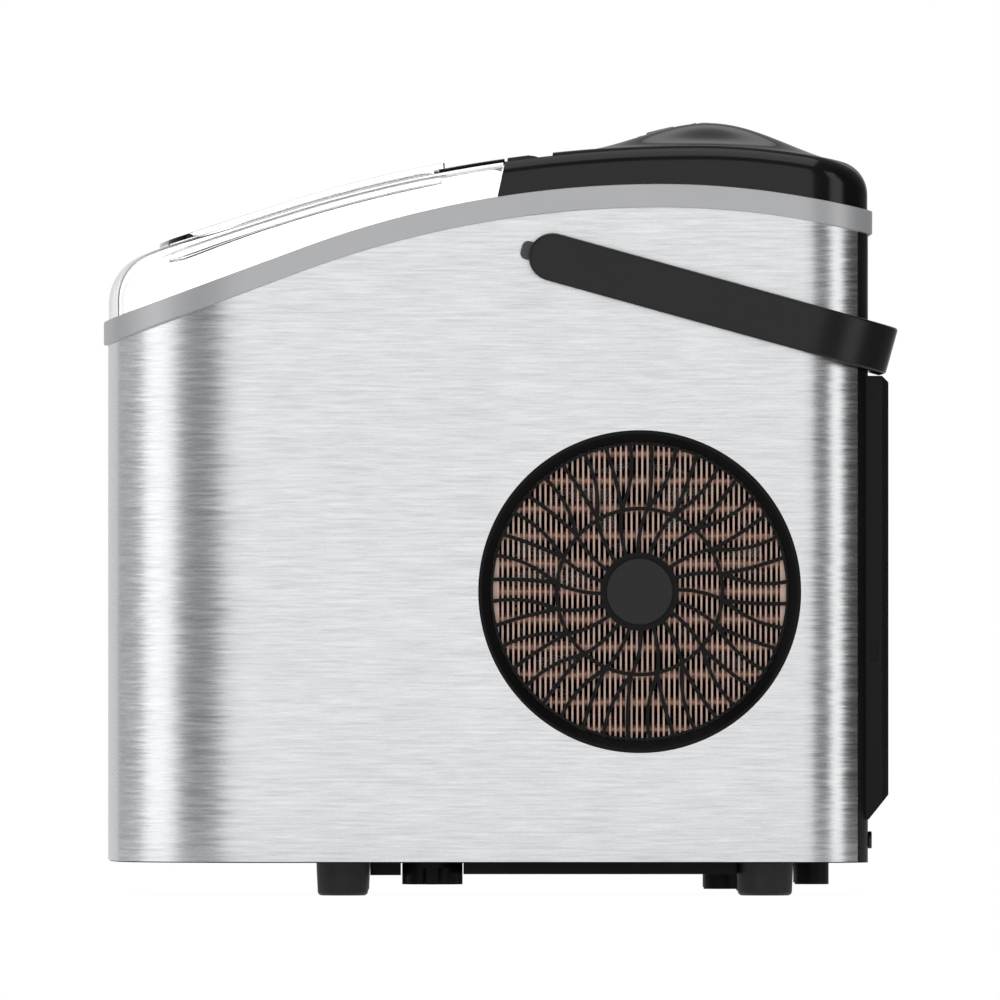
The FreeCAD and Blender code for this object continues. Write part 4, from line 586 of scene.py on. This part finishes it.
def control_seat(x, y, height):
    """Flattens the dome round the control face, so that the face lies on it."""
    gap = math.hypot(max(abs(x) - face_half.x - seat_margin, 0),
                     max(abs(y - face_middle.y) - face_half.y - seat_margin, 0))
    share = max(0, 1 - gap / seat_blend)
    share = share * share * (3 - 2 * share)
    seat = face_middle.z + (y - face_middle.y) * face_slope - seat_sink
    return height + (seat - height) * share


def round_hood(bm, edges, steps=10):
    """Raises the hood's wall from its foot, and rolls its edge over to the top."""
    edges = place_loop(bm, edges, hood_foot)
    for step in range(steps + 1):
        edges = carry_loop(bm, edges, lambda p: hood_point(p, step / steps))
    return edges


def close_to_middle(bm, edges):
    """Fills the top from the rolled edge to the middle line."""
    sloping = [e for e in edges if abs(e.verts[0].co.y - e.verts[1].co.y) > 1e-6]
    carry_loop(bm, sloping, lambda p: Vector((0, *hood_point(p, 1).yz)))
    bmesh.ops.remove_doubles(bm, verts=bm.verts, dist=1e-6)


def cut_at(bm, point, normal):
    """Cuts the piece at a plane, and drops what lies beyond it."""
    bmesh.ops.bisect_plane(bm, geom=bm.verts[:] + bm.edges[:] + bm.faces[:], dist=1e-6,
                           plane_co=point, plane_no=normal, clear_outer=True)


gloss_black = moulded("gloss_black", (0.004, 0.004, 0.0045), 0.14, 0.20, 900, 0.000003, 0.2)
tree = gloss_black.node_tree
slant = add_node(tree, "LayerWeight", Blend=0.5)
fading = add_node(tree, "MapRange", From_Min=0.55, From_Max=0.86, To_Min=0.34, To_Max=0.002)
tree.links.new(slant.outputs["Facing"], fading.inputs["Value"])
tree.links.new(fading.outputs[0], tree.nodes["Principled BSDF"].inputs["Specular IOR Level"])
lid_joint_way = Vector((0, math.cos(lid_lean), -math.sin(lid_lean)))
bm = bmesh.new()
close_to_middle(bm, round_hood(bm, draw_outline(bm, start=hinge.y - 0.03, steps=70)))
across = [e for e in bm.edges if abs(e.verts[0].co.x - e.verts[1].co.x) > 0.05]
bmesh.ops.subdivide_edges(bm, edges=across, cuts=44, use_grid_fill=True)
cut_at(bm, lid_joint_foot, -lid_joint_way)
for point, normal in (((cheek_inner, 0, 0), (1, 0, 0)), ((0, joint_line, 0), (0, 1, 0))):
    bmesh.ops.bisect_plane(bm, geom=bm.verts[:] + bm.edges[:] + bm.faces[:], dist=1e-6,
                           plane_co=point, plane_no=normal)
middle_faces = [f for f in bm.faces if f.calc_center_median().x < cheek_inner
                and f.calc_center_median().y < joint_line]
bmesh.ops.delete(bm, geom=middle_faces, context="FACES")
for vert in bm.verts:
    vert.co.z += dome_height(vert.co.x, vert.co.y)
    if vert.co.z > crown_height(vert.co.y):
        vert.co.z = control_seat(vert.co.x, vert.co.y, vert.co.z)
mirror_half(bm)
bmesh.ops.solidify(bm, geom=bm.faces[:], thickness=hood_wall)
finish_piece(bm, "console_cover", "housing", gloss_black, ["top_cover"])


# ---- Clear lid ----
# A clear polycarbonate hood over the ice, with a raised window pressed in its
# top. Its rear edge leans back along the joint with the cover, and clips to the hinge.
window_rear = hinge.y - 0.0396
window_inset = 0.024
window_front = front + window_inset
window_corner = 0.014
window_step = (0.0001, 0.0028)
spine_inset = 0.045
lid_rear = hinge.y - 0.005
lid_wall = 0.0024
lid_gap = 0.0006


def clear_plastic():
    """Clear polycarbonate with faint wipe marks; its colour is painted dark grey where it is seen along its
    skin, a painted shade for the dark lines at its edges.
    """
    material, tree, shader = new_material("clear_plastic", Transmission_Weight=1.0, IOR=1.18)
    slant = add_node(tree, "LayerWeight", Blend=0.5)
    # Painted shade: the colour falls from near white to dark grey as the surface turns edge-on to the view.
    tint = tree.nodes.new("ShaderNodeValToRGB")
    tint.color_ramp.elements[0].position = 0.80
    tint.color_ramp.elements[0].color = (0.985, 0.99, 0.992, 1)
    tint.color_ramp.elements[1].position = 0.97
    tint.color_ramp.elements[1].color = (0.22, 0.225, 0.23, 1)
    tree.links.new(slant.outputs["Facing"], tint.inputs[0])
    tree.links.new(tint.outputs[0], shader.inputs["Base Color"])
    place = tree.nodes.new("ShaderNodeTexCoord")
    wipes = add_node(tree, "TexNoise", Scale=30.0, Detail=5.0, Roughness=0.7, Distortion=1.5)
    tree.links.new(place.outputs["Object"], wipes.inputs["Vector"])
    haze = tree.nodes.new("ShaderNodeMapRange")
    haze.inputs["From Min"].default_value = 0.5
    haze.inputs["From Max"].default_value = 0.8
    haze.inputs["To Min"].default_value = 0.0
    haze.inputs["To Max"].default_value = 0.004
    tree.links.new(wipes.outputs["Fac"], haze.inputs["Value"])
    tree.links.new(haze.outputs[0], shader.inputs["Roughness"])
    return material


def window_edge(p):
    """The point of the window's edge nearest a point outside it, and the level way in."""
    if p.y < corner_y:
        way = inward(p)
        return Vector((p.x, p.y, 0)) + way * window_inset, way
    core = Vector((min(p.x, half_width - window_inset - window_corner),
                   min(p.y, window_rear - window_corner), 0))
    out = Vector((p.x - core.x, p.y - core.y, 0)).normalized()
    return core + out * window_corner, -out


def on_crown(x, y, rise=0):
    """A point of the hood's top, or above it."""
    return Vector((x, y, crown_height(y) + rise))


def apron_place(share):
    """Where a loop lies between the rolled edge and the window."""
    def where(p):
        behind = p.x < half_width - 1e-4 and p.y > lid_rear - 1e-6
        start = p if behind else hood_point(p, 1)
        point = start.lerp(window_edge(p)[0], share)
        return on_crown(point.x, point.y)
    return where


def step_place(inset, rise):
    """Where a loop of the window's step lies."""
    def where(p):
        edge, way = window_edge(p)
        point = edge + way * inset
        return on_crown(point.x, point.y, rise)
    return where


def pane_place(share):
    """Where a loop of the window's pane lies, from its edge to its middle line."""
    def where(p):
        start = step_place(*window_step)(p)
        middle_y = min(max(start.y, window_front + spine_inset), window_rear - spine_inset)
        return on_crown(start.x * (1 - share), start.y + (middle_y - start.y) * share, window_step[1])
    return where


clear = clear_plastic()
bm = bmesh.new()
loop = round_hood(bm, draw_outline(bm, stop=lid_rear, steps=44))
rear_tip = max((v for e in loop for v in e.verts), key=lambda v: v.co.y)
draw_line(bm, rear_tip, (0, rear_tip.co.y, rear_tip.co.z), 24)
rear_line = [e for e in bm.edges if e.is_wire]
outline = bm.verts.layers.float_vector["outline"]
for vert in {v for e in rear_line for v in e.verts} - {rear_tip}:
    vert[outline] = vert.co
loop += rear_line
for share in (0.35, 0.7, 1):
    loop = carry_loop(bm, loop, apron_place(share))
loop = carry_loop(bm, loop, step_place(*window_step))
for step in range(8):
    loop = carry_loop(bm, loop, pane_place((step + 1) / 8))
bmesh.ops.remove_doubles(bm, verts=bm.verts, dist=1e-6)
cut_at(bm, lid_joint_foot - lid_joint_way * lid_gap, lid_joint_way)
mirror_half(bm)
bmesh.ops.dissolve_degenerate(bm, dist=1e-6, edges=bm.edges)
bmesh.ops.solidify(bm, geom=bm.faces[:], thickness=lid_wall)
ease_edges(bm, 0.0003, 3)
finish_piece(bm, "clear_lid", "lid", clear, ["lid_window"])


# ---- Hinge cover ----
# A gloss black bar across the back of the lid that turns between the cover's cheeks.
# Its back is round about the hinge pins, and a curved apron closes the slit behind it.
bar_half = cheek_inner - 0.0004
bar_radius = 0.0100
bar_joint_height = 0.0180
bar_lip = hood_wall + 0.0006
roll_y = hinge.y - 0.0004
under_bar = ((hinge.y - 0.0050, hinge.z - 0.0080), (hinge.y - 0.0095, hinge.z - 0.0020))
apron_radius = 0.0141
apron_wall = 0.0012
apron_from = math.radians(38)
apron_turn = 50


def turn_about_hinge(bm, tip, degrees, steps):
    """Draws an arc about the hinge pins, from the top to the back, and gives the new end."""
    made = bmesh.ops.spin(bm, geom=[tip], cent=hinge, axis=(-1, 0, 0), dvec=(0, 0, 0),
                          angle=math.radians(degrees), steps=steps, use_duplicate=False)
    return made["geom_last"][0]


def stretch_across(bm, half):
    """Closes a drawn section, and stretches it from the left to the right."""
    bmesh.ops.remove_doubles(bm, verts=bm.verts, dist=1e-7)
    end_face = bmesh.ops.contextual_create(bm, geom=bm.edges[:])["faces"]
    made = bmesh.ops.extrude_face_region(bm, geom=end_face)["geom"]
    fresh = [g for g in made if isinstance(g, bmesh.types.BMVert)]
    bmesh.ops.translate(bm, verts=fresh, vec=(2 * half, 0, 0))
    bmesh.ops.recalc_face_normals(bm, faces=bm.faces)


bm = bmesh.new()
lid_edge_top = lid_joint_foot + Vector((0, math.tan(lid_lean), 1)) * bar_joint_height
start_y = lid_edge_top.y + lid_gap
tip = bm.verts.new((-bar_half, start_y, crown_height(start_y) - bar_lip))
tip = draw_line(bm, tip, (-bar_half, start_y, crown_height(start_y)), 2)
for step in range(1, 7):
    y = start_y + (roll_y - start_y) * step / 6
    tip = draw_line(bm, tip, (-bar_half, y, crown_height(y)))
tip = draw_line(bm, tip, (-bar_half, hinge.y, hinge.z + bar_radius))
tip = turn_about_hinge(bm, tip, 150, 18)
for y, z in (*under_bar, (start_y, crown_height(start_y) - bar_lip)):
    tip = draw_line(bm, tip, (-bar_half, y, z))
stretch_across(bm, bar_half)
ease_edges(bm, 0.0003)
finish_piece(bm, "hinge_cover", "lid", gloss_black, ["lid_hinge_bar"])

bm = bmesh.new()
way = Vector((0, math.cos(apron_from), math.sin(apron_from)))
start = Vector((-cheek_inner, *hinge.yz)) + way * apron_radius
tip = turn_about_hinge(bm, bm.verts.new(start), apron_turn, 12)
outward = (tip.co - Vector((-cheek_inner, *hinge.yz))).normalized()
tip = draw_line(bm, tip, tip.co + outward * apron_wall)
tip = turn_about_hinge(bm, tip, -apron_turn, 12)
draw_line(bm, tip, start)
stretch_across(bm, cheek_inner)
finish_piece(bm, "hinge_apron", "housing", gloss_black)


# ---- Carrying handle ----
# A satin black bail: two flat arms and a cross bar in one moulding. It turns on a
# pin in each side of the shell, and rests hanging back over the rear panel.
pivot = Vector(joints["handle_swing"]["pos_m"])
handle_drop = math.radians(15.5)
arm_width = 0.0223
arm_thickness = 0.0065
arm_corner = 0.040
arm_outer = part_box("carry_handle")[1].x
bar_outer = 0.1639
arm_edge = 0.0014

satin_black = moulded("satin_black", (0.008, 0.008, 0.0085), 0.26, 0.34, 1500, 0.000008, 0.25,
                      Specular_IOR_Level=0.30)
bm = bmesh.new()
corners = [bm.verts.new((x, pivot.y, pivot.z + z)) for x, z in (
    (arm_outer - arm_thickness, 0), (arm_outer, 0), (arm_outer, arm_width / 2),
    (arm_outer - arm_thickness, arm_width / 2))]
section = bm.faces.new(corners)
bmesh.ops.spin(bm, geom=[section, *section.edges, *section.verts], cent=pivot, axis=(1, 0, 0),
               dvec=(0, 0, 0), angle=math.pi, steps=24, use_duplicate=False)
bmesh.ops.remove_doubles(bm, verts=bm.verts, dist=1e-6)
flat = [f for f in bm.faces if abs(f.normal.y) > 0.9 and abs(f.calc_center_median().y - pivot.y) < 1e-5]
bmesh.ops.delete(bm, geom=flat, context="FACES")
end_edges = [e for e in bm.edges if all(abs(v.co.y - pivot.y) < 1e-6 for v in e.verts) and e.is_boundary]
made = bmesh.ops.extrude_edge_only(bm, edges=end_edges)["geom"]
fresh = [g for g in made if isinstance(g, bmesh.types.BMVert)]
bmesh.ops.translate(bm, verts=fresh, vec=(0, bar_outer - arm_corner, 0))
edges = [g for g in made if isinstance(g, bmesh.types.BMEdge)]
bend = (arm_outer - arm_corner, pivot.y + bar_outer - arm_corner, pivot.z)
made = bmesh.ops.spin(bm, geom=edges, cent=bend, axis=(0, 0, 1), dvec=(0, 0, 0), angle=math.pi / 2,
                      steps=20, use_duplicate=False)["geom_last"]
edges = [g for g in made if isinstance(g, bmesh.types.BMEdge)]
made = bmesh.ops.extrude_edge_only(bm, edges=edges)["geom"]
for vert in (g for g in made if isinstance(g, bmesh.types.BMVert)):
    vert.co.x = 0
mirror_half(bm)
ease_edges(bm, arm_edge, 4)
turn = Matrix.Translation(pivot) @ Matrix.Rotation(-handle_drop, 4, "X") @ Matrix.Translation(-pivot)
bmesh.ops.transform(bm, matrix=turn, verts=bm.verts)
finish_piece(bm, "bail_handle", "handle", satin_black, ["carry_handle"])


# ---- Handle pivots ----
# A dark grey plate riveted to each side of the shell, with the pin that the arm
# turns on and a small lug that stops it.
def eased_copy(node, name, body, material, edge, sharper_than=40):
    """A piece with the made part's own shape, its edges rounded as a mould leaves them."""
    bm = bmesh.new()
    bm.from_mesh(frame["nodes"][node].data)
    bmesh.ops.remove_doubles(bm, verts=bm.verts, dist=1e-6)
    bmesh.ops.dissolve_limit(bm, angle_limit=math.radians(0.8), verts=bm.verts, edges=bm.edges)
    ease_edges(bm, edge, 2, sharper_than)
    return finish_piece(bm, name, body, material, [node])


dark_grey = moulded("dark_grey", (0.05, 0.05, 0.052), 0.42, 0.52, 1200, 0.00002, 0.2)
for side in ("left", "right"):
    eased_copy(side + "_handle_pivot", side + "_pivot_plate", "housing", dark_grey, 0.0006)


# ---- Grille, bezel and cap ----
# The round guard of the condenser: a tapered ring clipped into the shell, twenty
# curved ribs that fork at a middle ring, and a plain pressed cap on the hub.
grille_black = moulded("grille_black", (0.004, 0.0035, 0.0035), 0.30, 0.42, 1400, 0.00001, 0.2,
                       Specular_IOR_Level=0.14)
eased_copy("vent_bezel", "bezel_ring", "housing", grille_black, 0.0004)
eased_copy("vent_grille", "forked_grille", "housing", grille_black, 0.0005)
eased_copy("grille_cap", "hub_cap", "housing", satin_black, 0.0002)


def dress(material, *names):
    """Gives made parts that keep their own shape their finish."""
    for name in names:
        for slot in frame["nodes"][name].material_slots:
            slot.material = material


# ---- Condenser ----
# Thin copper fins on one tube that runs to and fro in level rows, between two end
# plates. Dust and heat leave the fins uneven, from pink to brown.
def bare_metal(name, dark, pale, scale, smooth, dull):
    """Bare metal with a drifting tarnish."""
    material, tree, shader = new_material(name, Metallic=1.0)
    place = tree.nodes.new("ShaderNodeTexCoord")
    tarnish = add_node(tree, "TexNoise", Scale=scale, Detail=4.0, Roughness=0.6)
    tree.links.new(place.outputs["Object"], tarnish.inputs["Vector"])
    tone = tree.nodes.new("ShaderNodeValToRGB")
    tone.color_ramp.elements[0].position = 0.3
    tone.color_ramp.elements[0].color = (*dark, 1)
    tone.color_ramp.elements[1].position = 0.7
    tone.color_ramp.elements[1].color = (*pale, 1)
    tree.links.new(tarnish.outputs["Fac"], tone.inputs[0])
    tree.links.new(tone.outputs[0], shader.inputs["Base Color"])
    sheen = tree.nodes.new("ShaderNodeMapRange")
    sheen.inputs["To Min"].default_value = smooth
    sheen.inputs["To Max"].default_value = dull
    tree.links.new(tarnish.outputs["Fac"], sheen.inputs["Value"])
    tree.links.new(sheen.outputs[0], shader.inputs["Roughness"])
    return material


# Painted light: the fins' copper is made paler than the tube's to offset the shade that falls between the
# close fins; the end plates share it.
fin_copper = bare_metal("fin_copper", (0.62, 0.43, 0.36), (0.80, 0.60, 0.52), 60, 0.40, 0.60)
tube_copper = bare_metal("tube_copper", (0.40, 0.22, 0.16), (0.56, 0.36, 0.28), 40, 0.30, 0.50)
dress(fin_copper, "condenser_fins", "condenser_end_plates")
dress(tube_copper, "condenser_tube", "filter_drier", "discharge_line", "suction_line", "capillary_line")


# ---- Fan ----
# An axial fan in a moulded shroud draws air through the condenser. Its motor hangs
# on three arms, and the shaft carries the seven-bladed impeller.
fan_black = moulded("fan_black", (0.014, 0.014, 0.015), 0.45, 0.6, 1000, 0.00002, 0.2)
machine_grey = moulded("machine_grey", (0.16, 0.16, 0.17), 0.45, 0.6, 900, 0.00002, 0.2)
plated_steel = bare_metal("plated_steel", (0.42, 0.42, 0.43), (0.66, 0.66, 0.67), 80, 0.25, 0.4)
dress(fan_black, "fan_shroud", "fan_impeller")
dress(machine_grey, "fan_motor", "tray_motor", "water_pump", "relay_cover")
dress(plated_steel, "fan_shaft", "foot_screws", "lid_hinge_pins")


# ---- Compressor ----
# The welded compressor can, enamelled black, on three rubber grommets.
enamel = moulded("black_enamel", (0.015, 0.015, 0.016), 0.2, 0.34, 160, 0.00006, 0.3)
rubber = moulded("black_rubber", (0.022, 0.022, 0.023), 0.42, 0.6, 1300, 0.00004, 0.3,
                 Specular_IOR_Level=0.45)
dress(enamel, "compressor")
dress(rubber, "compressor_grommets", "drain_seal")


# ---- Rear panel ----
# Moulded black panel that closes the back. Its raised box is slotted to let the
# warm air out, and the mains lead comes in through a bush low on it.
panel_black = moulded("panel_black", (0.005, 0.005, 0.0055), 0.34, 0.46, 1100, 0.00002, 0.25,
                      Specular_IOR_Level=0.16)
eased_copy("back_panel", "louvred_panel", "housing", panel_black, 0.0006)
eased_copy("cord_gland", "lead_bush", "housing", rubber, 0.0004)
blackened = bare_metal("blackened_steel", (0.030, 0.030, 0.032), (0.060, 0.060, 0.063), 90, 0.35, 0.5)
eased_copy("back_panel_screws", "panel_screws", "housing", blackened, 0.0004)


# ---- Base and feet ----
# A moulded pan that everything stands on, four turned rubber feet screwed to it,
# and the drain's cap and spout under the ice pit.
eased_copy("base_tray", "base_pan", "housing", panel_black, 0.0005)
for foot in ("front_left_foot", "front_right_foot", "rear_left_foot", "rear_right_foot"):
    eased_copy(foot, foot.replace("_foot", "_rubber_foot"), "housing", rubber, 0.0004)
eased_copy("drain_cap", "fluted_drain_cap", "drain", panel_black, 0.0004)


# ---- Control face ----
# A black inlay on the front slope of the dome, with three grey buttons that click
# on the board below and four light guides. Each button has a plain moulded sign.
sign_rise = 0.0001
button_grey = moulded("button_grey", (0.20, 0.20, 0.205), 0.38, 0.5, 1500, 0.00001, 0.1)
face_black = moulded("face_black", (0.006, 0.006, 0.0065), 0.10, 0.16, 700, 0.000002, 0.2)
sign_white = moulded("sign_white", (0.75, 0.75, 0.76), 0.4, 0.5, 1500, 0.000005, 0.05)
lens_green = moulded("lens_green", (0.16, 0.42, 0.20), 0.2, 0.3, 900, 0.000003, 0.1)
eased_copy("control_panel", "control_face", "housing", face_black, 0.0003)
for name in ("power", "size", "clean"):
    eased_copy(name + "_button", name + "_key", name, button_grey, 0.0002)
dress(lens_green, "indicator_lamps")


def sign_ring(bm, sides, outer, inner, turn=0.0, point=0.0):
    """A flat ring with a number of sides, drawn out to a point at its top."""
    rims = []
    for radius in (outer, inner):
        made = bmesh.ops.create_circle(bm, segments=sides, radius=radius,
                                       matrix=Matrix.Rotation(turn, 4, "Z"))
        for vert in made["verts"]:
            vert.co.y += point * max(vert.co.y / radius, 0) ** 4
        rims += [e for e in bm.edges if all(v in made["verts"] for v in e.verts)]
    bmesh.ops.bridge_loops(bm, edges=rims)


def raise_sign(bm, name):
    """Lays a flat sign on its button, and gives it its thickness."""
    made = bmesh.ops.extrude_face_region(bm, geom=bm.faces[:])["geom"]
    fresh = [g for g in made if isinstance(g, bmesh.types.BMVert)]
    bmesh.ops.translate(bm, verts=fresh, vec=(0, 0, sign_rise))
    up = press_way if press_way.z > 0 else -press_way
    points = [vert.co for vert in frame["nodes"][name + "_button"].data.vertices]
    reach = max(point.dot(up) for point in points)
    face = [point for point in points if point.dot(up) > reach - 1e-5]
    top = sum(face, Vector()) / len(face)
    bmesh.ops.transform(bm, matrix=Matrix.Translation(top) @ up.to_track_quat("Z", "Y").to_matrix().to_4x4(),
                        verts=bm.verts)
    bmesh.ops.recalc_face_normals(bm, faces=bm.faces)
    finish_piece(bm, name + "_sign", name, sign_white)


bm = bmesh.new()
sign_ring(bm, 32, 0.0026, 0.0021)
raise_sign(bm, "power")
bm = bmesh.new()
sign_ring(bm, 4, 0.0030, 0.0023, turn=math.pi / 4)
raise_sign(bm, "size")
bm = bmesh.new()
sign_ring(bm, 32, 0.0022, 0.0017, point=0.0012)
raise_sign(bm, "clean")


# ---- Ice pit and mechanism ----
# White moulded tub with the lift-out basket, the tipping water tray and the comb
# that pushes the ice forward; plated fingers freeze the ice above the tray.
white_plastic = moulded("white_plastic", (0.80, 0.81, 0.82), 0.32, 0.45, 1200, 0.00001, 0.06)
basket_white = moulded("basket_white", (0.72, 0.74, 0.76), 0.25, 0.38, 1200, 0.00001, 0.06)
plated = bare_metal("tinned_plate", (0.62, 0.62, 0.61), (0.80, 0.80, 0.79), 60, 0.18, 0.32)
zinc = bare_metal("zinc_sheet", (0.48, 0.49, 0.50), (0.70, 0.71, 0.72), 35, 0.3, 0.5)
foam = moulded("yellow_foam", (0.72, 0.64, 0.42), 0.8, 0.95, 260, 0.0005, 0.3)
solder_mask = moulded("board_green", (0.02, 0.14, 0.06), 0.25, 0.4, 500, 0.00001, 0.3)
silicone = moulded("clear_hose", (0.62, 0.64, 0.64), 0.3, 0.45, 600, 0.00001, 0.1)
dress(white_plastic, "inner_liner", "water_tray", "ice_pusher", "shaft_bush", "drain_spout")
eased_copy("ice_basket", "lift_out_basket", "basket", basket_white, 0.0004)
dress(plated, "evaporator_block", "freezing_fingers")
dress(zinc, "evaporator_bracket", "bulkhead")
dress(foam, "foam_insulation")
dress(solder_mask, "control_board")
dress(silicone, "pump_hose")
dress(fan_black, "ice_full_sensor")
